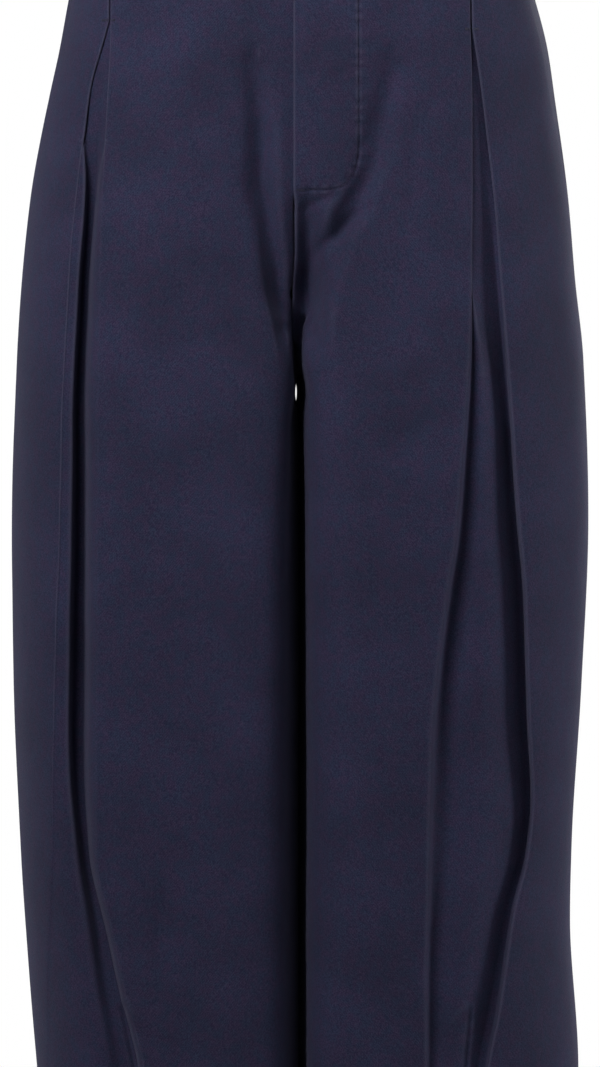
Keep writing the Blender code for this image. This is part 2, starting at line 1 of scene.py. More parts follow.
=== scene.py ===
"""Dresses the pleated wide-leg trousers: fine creased cloth, sewing, button, stage and camera.

The front faces -Y and +Z is up. Left and right are the wearer's, so the right leg is at -X.
Sizes are in metres. "Down" is the distance below the middle of the waist, "out" the distance
from the middle of the body, and "along" the length round a level section from the middle.
"""

import json
import math

import bpy
import numpy as np
from bpy.props import FloatProperty, FloatVectorProperty, IntProperty, PointerProperty
from bpy.types import Operator, Panel, PropertyGroup
from mathutils import Matrix, Vector
from mathutils.bvhtree import BVHTree


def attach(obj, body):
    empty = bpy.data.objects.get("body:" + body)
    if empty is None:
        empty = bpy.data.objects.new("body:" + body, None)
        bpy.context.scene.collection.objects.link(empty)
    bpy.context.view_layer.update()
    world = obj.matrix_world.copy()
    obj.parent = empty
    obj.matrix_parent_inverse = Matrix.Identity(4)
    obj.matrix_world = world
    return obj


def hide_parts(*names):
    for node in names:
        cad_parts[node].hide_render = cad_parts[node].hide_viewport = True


bl_info = {
    "name": "Pleated wide-leg trousers",
    "version": (1, 0, 0),
    "blender": (4, 5, 0),
    "location": "3D View > Sidebar > Trousers",
    "description": "Makes the cloth, sewing, button and stage of a worn pair of trousers",
    "category": "Object",
}

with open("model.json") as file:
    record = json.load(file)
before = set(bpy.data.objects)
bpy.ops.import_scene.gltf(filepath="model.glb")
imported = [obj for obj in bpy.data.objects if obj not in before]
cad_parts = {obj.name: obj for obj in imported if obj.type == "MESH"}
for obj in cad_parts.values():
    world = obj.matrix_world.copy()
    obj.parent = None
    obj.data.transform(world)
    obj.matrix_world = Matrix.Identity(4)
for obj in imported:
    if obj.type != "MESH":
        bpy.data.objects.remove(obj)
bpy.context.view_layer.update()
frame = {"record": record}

# Cloth and seams
CLOTH = 0.0010
FACING_CLOTH = 0.0009
BAND_CLOTH = 0.0024
SEAM_GAP = 0.0003
LAYER_PITCH = 0.0012
TURN_RUN = 0.0022

# Levels
BAND_TOP = -0.0200
WAIST_SEAM = 0.0200
PLEAT_STOP = 0.0900
RISE_TURN = {"front": 0.2320, "back": 0.1950}
CROTCH = 0.3010
HEM = 0.8950
HEM_TURN = 0.0260
HEM_FOLD = 0.0009
HEM_STITCH = 0.0235
HEM_TROUGH = 0.0003
HEM_TROUGH_REACH = 0.0016
CROTCH_SPAN = (CROTCH - 0.004, CROTCH + 0.003)

# Places across the body
SEAM_Y = 0.0040
INSEAM_Y = 0.0060
CENTRE_SHIFT = -0.0012
INNER_GAP = 0.0009
CENTRE_DIP = {"front": 0.0015, "back": 0.0040}

# Section shapes: 2 is an ellipse, more is squarer
OUTER_ROUNDNESS = 2.25
INNER_ROUNDNESS = {"right": 5.6, "left": 4.6}
INNER_SLANT = {"right": 0.0, "left": 0.0052}
SLANT_DEPTH = (0.0, 0.55)
SLANT_HOLD = 0.0030
CORNER_SHARP = 0.0140
LEGS_PART = 0.0140
SOLID_WALL = 0.0010

# The inner walls of the legs wave past each other, except at the slit just under the crotch
WAVE_HEIGHT = 0.0021
WAVE_LENGTH = 0.0900
WAVE_FRONT = -0.0450
WAVE_REACH = 0.0200
WAVE_START = (0.2250, 0.2550)
SLIT = 0.3105
SLIT_REACH = 0.0110

# The two fronts sink into a hollow just over the crotch. It slopes evenly from the right to its
# lowest line on the left front, rises again to the left, and narrows going down
HOLLOW_DEPTH = 0.0225
HOLLOW_RIGHT = 0.0228
HOLLOW_NARROWS = 0.0105
HOLLOW_NARROWING = (0.2250, 0.2960)
HOLLOW_LOWEST = 0.0070
HOLLOW_LEFT = 0.0230
HOLLOW_EDGE = 0.12
HOLLOW_START = (0.1800, 0.2500)
HOLLOW_END = (0.2680, 0.3005)

# Fly, underlap and button
FLY_WIDTH = 0.0400
FLY_BOTTOM = 0.1918
FLY_FOOT = 0.0220
FLY_CORNER = 0.0260
FLY_LIFT = 0.00058
FLY_LIFT_REACH = 0.0060
FLY_STITCH = 0.0385
FLY_PAD = 0.00055
FLY_INSET = 0.0058
FLY_BENDS = 8
FLY_TOP_GAP = 0.0005
FLY_STITCH_END = 0.0016
FLY_STITCH_DROP = 0.0004
FLY_PAD_EDGE = 0.0012
FLY_TROUGH = 0.00055
FLY_TROUGH_REACH = 0.0010
FLY_PUCKERS = 2.4
FLY_END = (FLY_BOTTOM - 0.002, FLY_BOTTOM + 0.008)
UNDERLAP = 0.0350
UNDERLAP_DROP = 0.0029
UNDERLAP_RUN = 0.0120
BUTTON_PLACE = 0.0170
BAND_LEVELS = (WAIST_SEAM - 0.0001, BAND_TOP + 0.0002)
BAND_LENGTH = 0.8
BAND_ROUNDING = 0.0008
# The stretches of the waistband in their order round the waist from the centre front, and if they
# run towards the middle of the body
BAND_RUNS = (
    ("left", "front", False),
    ("left", "back", True),
    ("right", "back", False),
    ("right", "front", True),
)

# Pocket facing
FACING_TUCK = 0.0100
FACING_DROP = 0.0018
FACING_LEVEL = 0.0120
FACING_TOP = 0.0209
FACING_EDGE = 0.0030
FACING_EDGE_DROP = 0.0009

# Half widths and depths of the body, by level
BODY_COLUMNS = ("down", "right", "left", "front", "back", "front_crest", "back_crest")
BODY = (
    (-0.02, 0.119, 0.119, 0.083, 0.085, 0.03, 0.04),
    (0.02, 0.124, 0.125, 0.087, 0.091, 0.033, 0.044),
    (0.076, 0.136, 0.143, 0.092, 0.102, 0.038, 0.052),
    (0.106, 0.1415, 0.1505, 0.094, 0.107, 0.042, 0.056),
    (0.136, 0.148, 0.155, 0.095, 0.11, 0.047, 0.06),
    (0.196, 0.159, 0.163, 0.096, 0.111, 0.058, 0.066),
    (0.244, 0.164, 0.167, 0.0965, 0.108, 0.068, 0.072),
    (0.292, 0.167, 0.172, 0.097, 0.104, 0.076, 0.077),
    (0.388, 0.17, 0.175, 0.098, 0.1, 0.082, 0.082),
    (0.484, 0.169, 0.171, 0.097, 0.099, 0.082, 0.082),
    (0.58, 0.165, 0.165, 0.094, 0.097, 0.08, 0.08),
    (0.628, 0.162, 0.164, 0.092, 0.095, 0.079, 0.08),
    (0.716, 0.155, 0.169, 0.086, 0.09, 0.076, 0.082),
    (0.8, 0.146, 0.159, 0.078, 0.082, 0.072, 0.078),
    (0.895, 0.134, 0.142, 0.069, 0.072, 0.066, 0.07),
)

# Depth of the rounded inner corner of each leg, by level
CORNER_COLUMNS = ("down", "front", "back")
CORNER = (
    (0.195, 0.0, 0.0),
    (0.232, 0.0, 0.006),
    (0.262, 0.0085, 0.019),
    (0.28, 0.023, 0.031),
    (0.301, 0.043, 0.047),
    (0.33, 0.063, 0.065),
    (0.38, 0.086, 0.084),
    (0.45, 0.1, 0.096),
    (0.895, 0.072, 0.074),
)

# Length of the visible pocket facing, from the mouth's edge to the side seam, by level
MOUTH_COLUMNS = ("down", "right", "left")
MOUTH = (
    (-0.02, 0.03, 0.031),
    (0.02, 0.029, 0.0305),
    (0.076, 0.028, 0.03),
    (0.106, 0.022, 0.029),
    (0.13, 0.011, 0.027),
    (0.148, 0.003, 0.024),
    (0.166, 0.0, 0.019),
    (0.196, 0.0, 0.006),
    (0.214, 0.0, 0.0),
    (0.895, 0.0, 0.0),
)

# Inverted box pleats: how far out the two fold edges and the groove between them lie, the
# groove's depth, how far the folds tuck under, and how far the pleat has opened into a groove
PLEAT_COLUMNS = ("down", "inner_fold", "groove", "outer_fold", "depth", "tuck", "open")
PLEATS = {
    "right": (
        (0.02, 0.1085, 0.1095, 0.1106, 0.0026, 0.015, 0.0),
        (0.09, 0.1093, 0.1101, 0.111, 0.0026, 0.015, 0.0),
        (0.0912, 0.1094, 0.1103, 0.1113, 0.0026, 0.015, 0.0),
        (0.095, 0.1096, 0.1108, 0.1124, 0.0027, 0.0145, 0.0),
        (0.131, 0.1116, 0.116, 0.1226, 0.0032, 0.0125, 0.0),
        (0.16, 0.1128, 0.1176, 0.1262, 0.0085, 0.004, 0.35),
        (0.1884, 0.114, 0.119, 0.1298, 0.013, 0.0006, 0.8),
        (0.22, 0.115, 0.1218, 0.133, 0.0165, 0.0, 1.0),
        (0.2556, 0.116, 0.125, 0.1358, 0.019, 0.0, 1.0),
        (0.3192, 0.1172, 0.1276, 0.139, 0.022, 0.0, 1.0),
        (0.396, 0.1178, 0.1278, 0.1412, 0.0255, 0.0, 1.0),
        (0.46, 0.118, 0.1278, 0.143, 0.0255, 0.0, 1.0),
        (0.524, 0.1184, 0.1276, 0.1442, 0.0235, 0.0, 1.0),
        (0.588, 0.1184, 0.124, 0.1454, 0.0205, 0.0, 1.0),
        (0.636, 0.1082, 0.1128, 0.1472, 0.019, 0.0, 1.0),
        (0.668, 0.1012, 0.1056, 0.1482, 0.0165, 0.0, 1.0),
        (0.716, 0.0902, 0.0944, 0.1488, 0.0125, 0.0, 1.0),
        (0.895, 0.0762, 0.0812, 0.127, 0.004, 0.0, 1.0),
    ),
    "left": (
        (0.02, 0.104, 0.1048, 0.1056, 0.0026, 0.015, 0.0),
        (0.0952, 0.1042, 0.105, 0.1058, 0.0026, 0.015, 0.0),
        (0.0964, 0.1043, 0.1051, 0.106, 0.0026, 0.015, 0.0),
        (0.1005, 0.1045, 0.1054, 0.1067, 0.0026, 0.0148, 0.0),
        (0.1404, 0.1052, 0.1082, 0.1122, 0.0032, 0.013, 0.0),
        (0.1884, 0.1055, 0.114, 0.118, 0.0055, 0.008, 0.0),
        (0.252, 0.1052, 0.1202, 0.1232, 0.01, 0.002, 0.25),
        (0.3, 0.1032, 0.124, 0.1268, 0.0135, 0.0, 0.8),
        (0.348, 0.0998, 0.1276, 0.1302, 0.016, 0.0, 1.0),
        (0.396, 0.096, 0.1312, 0.1336, 0.018, 0.0, 1.0),
        (0.428, 0.0912, 0.1338, 0.1362, 0.0188, 0.0, 1.0),
        (0.476, 0.085, 0.1356, 0.138, 0.019, 0.0, 1.0),
        (0.5082, 0.082, 0.1368, 0.1392, 0.0184, 0.0, 1.0),
        (0.5562, 0.079, 0.1384, 0.1412, 0.016, 0.0, 1.0),
        (0.588, 0.078, 0.1352, 0.1384, 0.0144, 0.0, 1.0),
        (0.6204, 0.078, 0.1262, 0.1304, 0.0142, 0.0, 1.0),
        (0.684, 0.078, 0.115, 0.121, 0.0124, 0.0, 1.0),
        (0.716, 0.078, 0.109, 0.115, 0.0098, 0.0, 1.0),
        (0.895, 0.07, 0.096, 0.106, 0.003, 0.0, 1.0),
    ),
}
TACKS = {"right": (0.1105, 0.0898), "left": (0.106, 0.0954)}
# The open groove's two flanks, from the fold edge down to the groove, as shares of its half
# width and its depth. The upper and the lower flank of each half blend between two levels
ROUNDED_FLANK = ((0.0, 0.0), (0.10, 0.02), (0.30, 0.09), (0.50, 0.24), (0.66, 0.58), (0.80, 0.96))
SHELF_FLANK = ((0.0, -0.012), (0.01, 0.04), (0.24, 0.06), (0.48, 0.10), (0.58, 0.20), (0.62, 0.88))
WIDE_SHELF_FLANK = ((0.0, -0.016), (0.006, 0.04), (0.30, 0.06), (0.62, 0.11), (0.78, 0.26), (0.84, 0.88))
RIDGE_FLANK = ((0.0, 0.0), (0.012, 0.52), (0.14, 0.88), (0.46, 0.22), (0.74, 0.50), (0.93, 0.92))
STEEP_FLANK = ((0.0, 0.0), (0.04, 0.16), (0.12, 0.42), (0.20, 0.68), (0.30, 0.88), (0.42, 0.97))
FLANK_LEVELS = (0.5, 0.61)
PLEAT_FLANKS = {
    "right": ((ROUNDED_FLANK, ROUNDED_FLANK), (SHELF_FLANK, WIDE_SHELF_FLANK)),
    "left": ((RIDGE_FLANK, RIDGE_FLANK), (STEEP_FLANK, STEEP_FLANK)),
}
GROOVE_HALF = 0.0010

# Creases pressed in by wear: height out of the cloth (a trough is below 0), reach towards the
# middle of the body, reach away from it, and the path as places (out, down)
CREASES = {
    "front_right": (
        (-0.0095, 0.0046, 0.011, (
            (0.023, 0.118), (0.0188, 0.152), (0.0186, 0.188), (0.0136, 0.222), (0.0046, 0.272),
        )),
        (0.001, 0.006, 0.006, ((0.029, 0.13), (0.027, 0.19), (0.023, 0.226), (0.014, 0.262))),
        (0.0012, 0.005, 0.004, ((0.0085, 0.15), (0.008, 0.2), (0.004, 0.226))),
        (-0.0012, 0.011, 0.011, ((0.06, 0.18), (0.045, 0.26), (0.03, 0.33))),
        (0.0022, 0.02, 0.02, ((0.1, 0.64), (0.096, 0.7))),
        (-0.0018, 0.009, 0.009, ((0.078, 0.615), (0.08, 0.67))),
        (-0.001, 0.006, 0.004, ((0.0665, 0.118), (0.056, 0.134), (0.0455, 0.156))),
        (0.0007, 0.005, 0.005, ((0.062, 0.112), (0.051, 0.128), (0.041, 0.15))),
        (-0.0009, 0.006, 0.005, ((0.05, 0.228), (0.036, 0.246), (0.026, 0.254))),
        (-0.0009, 0.008, 0.006, ((0.079, 0.288), (0.036, 0.273))),
        (0.001, 0.014, 0.011, ((0.104, 0.585), (0.082, 0.616))),
        (-0.0012, 0.006, 0.008, ((0.0786, 0.6), (0.085, 0.655))),
        (-0.0009, 0.018, 0.014, ((0.062, 0.4), (0.05, 0.62))),
        (0.0008, 0.02, 0.016, ((0.034, 0.42), (0.03, 0.64))),
        (-0.0008, 0.011, 0.015, ((0.022, 0.56), (0.026, 0.76))),
        (0.0011, 0.004, 0.003, ((0.103, 0.672), (0.0925, 0.686))),
        (-0.0007, 0.003, 0.003, ((0.102, 0.681), (0.0905, 0.697))),
        (0.0009, 0.0035, 0.003, ((0.1, 0.692), (0.088, 0.709))),
        (0.0008, 0.005, 0.004, ((0.096, 0.715), (0.085, 0.73))),
        (-0.0012, 0.01, 0.009, ((0.06, 0.76), (0.056, 0.88))),
        (-0.001, 0.008, 0.008, ((0.112, 0.79), (0.106, 0.885))),
    ),
    "front_left": (
        (-0.0072, 0.0115, 0.0065, (
            (0.059, 0.12), (0.0525, 0.15), (0.0465, 0.175), (0.0385, 0.197), (0.027, 0.218), (0.006, 0.268),
        )),
        (-0.0036, 0.0045, 0.004, ((0.0435, 0.202), (0.028, 0.215), (0.013, 0.23))),
        (-0.003, 0.007, 0.0045, ((0.03, 0.226), (0.021, 0.248), (0.012, 0.276))),
        (-0.0016, 0.003, 0.0028, ((0.024, 0.194), (0.013, 0.199), (0.003, 0.204))),
        (0.0018, 0.004, 0.004, ((0.033, 0.188), (0.021, 0.204), (0.006, 0.234))),
        (-0.005, 0.006, 0.008, ((0.006, 0.2), (0.0062, 0.24), (0.005, 0.276))),
        (0.0013, 0.004, 0.005, ((0.048, 0.16), (0.04, 0.178), (0.033, 0.187))),
        (-0.0022, 0.006, 0.009, ((0.08, 0.14), (0.071, 0.16), (0.068, 0.215))),
        (-0.0014, 0.024, 0.024, ((0.044, 0.48), (0.042, 0.52))),
        (-0.0007, 0.003, 0.004, ((0.0175, 0.275), (0.005, 0.28))),
        (-0.0005, 0.006, 0.008, ((0.046, 0.348), (0.096, 0.322))),
        (0.0005, 0.0035, 0.0035, ((0.031, 0.1115), (0.015, 0.124))),
        (-0.0004, 0.003, 0.003, ((0.033, 0.118), (0.02, 0.129))),
        (0.0009, 0.02, 0.016, ((0.075, 0.33), (0.068, 0.52))),
        (-0.0009, 0.015, 0.017, ((0.026, 0.38), (0.03, 0.6))),
        (0.0008, 0.016, 0.014, ((0.05, 0.56), (0.058, 0.74))),
        (-0.0008, 0.012, 0.012, ((0.036, 0.64), (0.04, 0.8))),
        (0.0011, 0.0035, 0.003, ((0.102, 0.676), (0.09, 0.69))),
        (-0.0006, 0.003, 0.003, ((0.101, 0.686), (0.092, 0.7))),
        (-0.0013, 0.01, 0.008, ((0.066, 0.77), (0.06, 0.885))),
        (-0.001, 0.009, 0.008, ((0.118, 0.78), (0.11, 0.885))),
    ),
    "back_right": (
        (-0.003, 0.012, 0.012, ((0.03, 0.23), (0.055, 0.3), (0.07, 0.38))),
        (-0.004, 0.013, 0.013, ((0.12, 0.25), (0.118, 0.42), (0.112, 0.62), (0.098, 0.8))),
        (-0.0026, 0.013, 0.013, ((0.06, 0.43), (0.056, 0.6), (0.052, 0.78))),
        (-0.0018, 0.006, 0.008, ((0.008, 0.246), (0.026, 0.262), (0.052, 0.272))),
        (0.0014, 0.008, 0.007, ((0.006, 0.262), (0.03, 0.285), (0.05, 0.32))),
        (-0.0014, 0.006, 0.007, ((0.01, 0.285), (0.03, 0.318), (0.042, 0.372))),
        (-0.001, 0.007, 0.007, ((0.12, 0.205), (0.096, 0.24), (0.07, 0.262))),
        (0.0012, 0.012, 0.01, ((0.088, 0.4), (0.084, 0.6), (0.078, 0.76))),
        (-0.0009, 0.006, 0.008, ((0.096, 0.56), (0.07, 0.588))),
        (-0.0008, 0.005, 0.006, ((0.104, 0.6), (0.08, 0.622))),
        (-0.0012, 0.009, 0.009, ((0.034, 0.78), (0.032, 0.885))),
    ),
    "back_left": (
        (-0.0028, 0.012, 0.012, ((0.028, 0.24), (0.05, 0.31), (0.062, 0.4))),
        (-0.0045, 0.014, 0.014, ((0.124, 0.23), (0.122, 0.4), (0.118, 0.6), (0.106, 0.79))),
        (-0.0024, 0.012, 0.012, ((0.066, 0.47), (0.06, 0.62), (0.055, 0.76))),
        (-0.002, 0.007, 0.008, ((0.007, 0.238), (0.03, 0.257), (0.06, 0.268))),
        (0.0013, 0.008, 0.007, ((0.005, 0.256), (0.026, 0.28), (0.044, 0.322))),
        (-0.0012, 0.006, 0.007, ((0.01, 0.292), (0.027, 0.326), (0.038, 0.384))),
        (-0.001, 0.007, 0.008, ((0.126, 0.196), (0.104, 0.232), (0.078, 0.25))),
        (0.0012, 0.012, 0.011, ((0.092, 0.38), (0.09, 0.58), (0.084, 0.74))),
        (-0.0009, 0.006, 0.007, ((0.1, 0.54), (0.076, 0.572))),
        (-0.0013, 0.009, 0.008, ((0.04, 0.77), (0.038, 0.885))),
    ),
}
# Distance from the middle seam over which the seam holds the cloth flat
SEAM_HOLD = 0.0042
# Where along its path a crease starts and stops, as a share of the sine that tapers it
CREASE_END = 0.06

# Darts stitched into the front's hem, as places (out, down) from the tip to the hem
DARTS = {
    "front_right": ((0.1065, 0.668), (0.1015, 0.69), (0.0965, 0.716), (0.085, 0.8), (0.08, 0.896)),
    "front_left": ((0.104, 0.669), (0.1035, 0.69), (0.101, 0.716), (0.096, 0.8), (0.093, 0.896)),
}
DART_DEPTH = 0.0015
DART_REACH = 0.0016
DART_LIP = 0.0006
DART_LIP_REACH = 0.0050
DART_START = 0.08
DART_PUCKERS = 2
DART_PUCKER_RUN = 0.2

# Small puckers beside stitched lines
PUCKER_HEIGHT = 0.00020
PUCKER_REACH = 0.0050
PUCKER_LENGTH = 0.0085
PUCKER_SWAY = 0.0024
PUCKER_SWAY_LENGTH = 0.031

# Stitches: how blunt and how flat, how proud and how close they stand as shares of the thread's
# width, and then lengths
STITCH_BLUNTNESS = 0.7
STITCH_FLATNESS = 0.8
STITCH_PROUD = 0.1
SATIN_PROUD = 0.2
BAR_PROUD = 0.25
TACK_PITCH = 0.9
SATIN_PITCH = 0.92
TACK_WIDTH = 0.0018
TACK_LENGTH = 0.0080
FLY_TACK_SHIFT = 0.0022
FLY_TACK_LENGTH = 0.0046
HOLE_STITCH = 0.0016
HOLE_ENDS = (BUTTON_PLACE - 0.004, BUTTON_PLACE + 0.0175)
HOLE_HALF = 0.0012
HOLE_BAR_GAP = 0.0003
HOLE_BAR_HALF = 0.0016
FACE_STEP = 0.001

# Button: shares of its radius, and then lengths
BUTTON_RIM = 0.20
BUTTON_SLOPE = 0.12
BUTTON_BACK_RIM = 0.16
BUTTON_BACK_DISH = 0.0003
BUTTON_ROUNDING = 0.0005
BUTTON_THREAD_OVER = 0.0008
BUTTON_THREAD_CROWN = 0.0001

# Slight unevenness of the cloth: long soft waves that run mostly down it
UNEVEN_WAVES = 16
UNEVEN_LENGTHS = (0.030, 0.115)
UNEVEN_TURN = 0.55
UNEVEN_HEIGHT = 0.0026
UNEVEN_SWELL = 0.4
UNEVEN_SWELL_LENGTH = 3.1
BAND_UNEVEN = 0.35

# Edges, as (distance in from the edge, how far sunk)
CROSSING_EDGE = (
    (0.0032, 0.0), (0.0021, 0.00005), (0.0012, 0.00026),
    (0.0007, 0.0008), (0.00045, 0.0018), (-0.0016, 0.0027),
)
ROLLED_EDGE = (
    (0.0032, 0.0), (0.0022, 0.00004), (0.0014, 0.0002), (0.0009, 0.0005), (0.0007, 0.0009), (0.00062, 0.0013),
)
STRAIGHT_EDGE = (
    (0.0032, 0.0), (0.0018, 0.0), (0.0004, 0.0), (-0.0008, 0.0), (-0.0018, 0.0), (-0.0028, 0.0),
)
LAPPED_EDGE = (
    (0.0060, 0.0), (0.0035, 0.00002), (0.0018, 0.00006),
    (0.0002, 0.00012), (-0.0016, 0.0002), (-0.0040, 0.0004),
)
LAPPING_EDGE = (
    (0.0032, 0.0), (0.0014, 0.0), (0.0006, 0.00008), (0.0002, 0.00026), (0.00004, 0.0006), (0.00004, 0.0010),
)
MOUTH_EDGE_DEPTH = 0.35
MOUTH_EDGE_FADE = 0.0030
# An edge stands straight instead of rolled where the crotch curve carries the section sideways:
# how far down the curve this takes to come in, and how steeply the section has to run
EDGE_TURNS = {"front": 0.0390, "back": 0.0160}
EDGE_SLOPES = (0.35, 0.85)

# Columns and rows of the fine cloth
FRONT_COLUMNS = 142
BACK_COLUMNS = 84
FRONT_ROWS = (150, 132)
BACK_ROWS = (112, 112)
COLUMN_STEP = 0.0021
COLUMN_TURN = 0.36
MARK_STEP = 0.0006
MARK_REACH = 0.0028
MARK_RAMP = 0.02
HIDDEN_SHARE = 0.7
RISE_ROWS = 24
SAMPLES = 260
LINE_STEP = 1 / 14
LEVEL_SAMPLES = 6000
ROW_PITCH = 0.0030
WAIST_CLEARANCE = 0.0004
HEM_FOLD_ROWS = 8
HEM_TURN_ROWS = 7
HEM_TURN_START = 0.002
FACING_ROWS = 64
FACING_COLUMNS = (22, 6)
FLY_ROWS = (40, 14)
FLY_COLUMNS = 24
BAND_ROWS = 15
BAND_COLUMNS = 61
UNDERLAP_COLUMNS = 16

# Levels where a panel's rows stand closer: the pitch there, the reach, and if on fronts only
CLOSE_ROWS = (
    (FLY_BOTTOM, 0.0012, 0.009, True),
    (PLEAT_STOP, 0.002, 0.012, True),
    (0.685, 0.0022, 0.022, True),
    (HEM - HEM_STITCH, 0.0015, 0.004, False),
)
# Between these levels, over the hips, the rows stand twice as close
HIP_ROWS = (0.10, 0.34)
# Rows that run up into the waistband, as (above the top row, how far sunk)
WAIST_ROWS = ((0.006, 0.0027), (0.0006, 0.0027), (0.0002, 0.0012), (0.0001, 0.0005))
# Bend of the cloth, per metre, at which its colour is fully changed: outward bends get rubbed nap with a
# painted highlight, inward bends get painted shade as in a crease
WEAR_AND_PAINTED_LIGHT_BEND = 500

# Number of spans of the coarse section that the pleats are set into
CENTRE_SPANS = 12
SIDE_SPANS = 4

# The middle of the photo's view, as x and z
VIEW_CENTRE = (0.0024, -0.3963)
# Lights: name, the stage's property with the power, size, place, target, and if its beam is narrowed
UPPER_PART = (0, 0, -0.02)
MIDDLE_PART = (0, 0, -0.35)
LIGHTS = (
    ("left_box", "key", (0.9, 0.9), (-0.80, -1.36, 0.86), UPPER_PART, True),
    ("right_box", "side", (0.5, 1.3), (2.1, -0.10, 0.30), (0, 0, -0.15), True),
    ("front_box", "fill", (1.2, 0.6), (1.3, -1.6, 0.9), (0, 0, -0.1), False),
    ("back_box", "back", (1.2, 1.0), (0.5, 2.0, 0.7), MIDDLE_PART, True),
    ("rim_right", "rim", (0.5, 1.6), (-1.7, 1.0, 0.1), MIDDLE_PART, False),
    ("rim_left", "rim", (0.5, 1.6), (1.7, 1.0, 0.1), MIDDLE_PART, False),
)

# The panels' points and the cloth's materials, kept from one operator to the next
form = {}


def smooth_curve(at, knots, values):
    """The height at `at` of a smooth curve through the values, which doesn't overshoot them."""
    knots = np.asarray(knots, float)
    values = np.asarray(values, float)
    steps = np.diff(knots)
    slopes = np.diff(values) / steps
    before, after = slopes[:-1], slopes[1:]
    product = before * after
    total = np.where(product > 0, before + after, 1.0)
    inner = np.where(product > 0, 2 * product / total, 0.0)
    tangents = np.concatenate([slopes[:1], inner, slopes[-1:]])
    at = float(np.clip(at, knots[0], knots[-1]))
    k = int(np.clip(np.searchsorted(knots, at) - 1, 0, len(steps) - 1))
    t = (at - knots[k]) / steps[k]
    ends = (1 + 2 * t) * (1 - t) ** 2 * values[k] + t * t * (3 - 2 * t) * values[k + 1]
    bends = t * (1 - t) ** 2 * tangents[k] - t * t * (1 - t) * tangents[k + 1]
    return ends + bends * steps[k]


def read(table, columns, name, down):
    """A column of a table, smoothly between its rows."""
    where = columns.index(name)
    return smooth_curve(down, [row[0] for row in table], [row[where] for row in table])


def ease(value, start, end):
    """From 0 at start to 1 at end, with a smooth start and end."""
    t = np.clip((value - start) / (end - start), 0.0, 1.0)
    return t * t * (3 - 2 * t)


def bell(distance, reach):
    """1 at no distance, fading smoothly to 0 within about twice the reach."""
    return np.exp(-((distance / reach) ** 2))


def running(steps):
    """The running total of some steps, from 0."""
    return np.concatenate([[0.0], np.cumsum(steps)])


def sign(side):
    """The side of the body as the sign of x."""
    return 1.0 if side == "left" else -1.0


def centre_end(half, down, depth):
    """Depth of the section at the crotch curve or the inseam, where a panel's inner edge lies."""
    at_centre = -depth + CENTRE_DIP[half]
    inseam = -INSEAM_Y if half == "back" else INSEAM_Y
    t = min(max((down - RISE_TURN[half]) / (CROTCH - RISE_TURN[half]), 0.0), 1.0)
    return at_centre + (inseam - at_centre) * (1 - math.sqrt(1 - t * t))


def base_curve(side, half, down):
    """The plain section of half a leg, from the middle of the body round to the side seam.

    Gives the places, as (out, back), the length along the curve and the outward directions.
    A back section is worked out as a front one and then turned to face +Y.
    """
    width = read(BODY, BODY_COLUMNS, side, down)
    depth = read(BODY, BODY_COLUMNS, half, down)
    crest = read(BODY, BODY_COLUMNS, half + "_crest", down)
    corner = read(CORNER, CORNER_COLUMNS, half, down)
    seam = SEAM_Y if half == "front" else -SEAM_Y
    leg = ease(corner, 0.0, CORNER_SHARP)
    wall = SEAM_GAP / 2 + leg * SOLID_WALL / 2
    inner = wall + (INNER_GAP - SOLID_WALL / 2) * ease(down, CROTCH, CROTCH + LEGS_PART)

    turn = np.linspace(0, math.pi / 2, SAMPLES)
    run = turn / (math.pi / 2)
    end = centre_end(half, down, depth)
    drop = min(CENTRE_DIP[half] + corner, end + depth)
    power = 2 / INNER_ROUNDNESS[side]
    flat = np.stack([inner + (crest - inner) * run, -depth + drop * (1 - run) ** 2], 1)
    out = crest - (crest - inner) * np.cos(turn).clip(0) ** power
    back = drop - drop * np.sin(turn) ** power - depth
    flat = (1 - leg) * flat + leg * np.stack([out, back], 1)
    if end > flat[0, 1] + SEAM_GAP:
        flat = np.concatenate([[[inner, end]], flat])
    if half == "front":
        inwards = ((crest - flat[:, 0]) / (crest - inner)) ** 3
        passed = running(np.linalg.norm(np.diff(flat, axis=0), axis=1))
        inwards *= 1 - bell(passed, SLANT_HOLD)
        flat[:, 0] += INNER_SLANT[side] * leg * inwards * ease(-flat[:, 1] / depth, *SLANT_DEPTH)

    power = 2 / OUTER_ROUNDNESS
    out = crest + (width - crest) * np.sin(turn) ** power
    back = seam - (seam + depth) * np.cos(turn).clip(0) ** power
    places = np.concatenate([flat, np.stack([out, back], 1)[1:]])

    steps = np.linalg.norm(np.diff(places, axis=0), axis=1)
    length = running(steps)
    even = np.linspace(0, length[-1], 2 * SAMPLES)
    places = np.stack([np.interp(even, length, places[:, k]) for k in (0, 1)], 1)
    along = np.gradient(places, even, axis=0)
    along /= np.linalg.norm(along, axis=1)[:, None]
    outward = np.stack([along[:, 1], -along[:, 0]], 1)
    if half == "back":
        places[:, 1] *= -1
        outward[:, 1] *= -1
    return places, even, outward


def bend_measure(places, length):
    """How far a section has turned, in radians, at each of its lengths."""
    ways = np.diff(places, axis=0)
    angles = np.unwrap(np.arctan2(ways[:, 1], ways[:, 0]))
    turned = running(np.abs(np.diff(angles)))
    return np.interp(length, (length[1:] + length[:-1]) / 2, turned)


def stations(places, length, end, spans):
    """Lengths from the middle to `end` for a coarse section, closer together round bends."""
    measure = bend_measure(places, length) / (math.pi / 2) + length / end
    last = float(np.interp(end, length, measure))
    return np.interp(np.linspace(measure[0], last, spans + 1), measure, length)


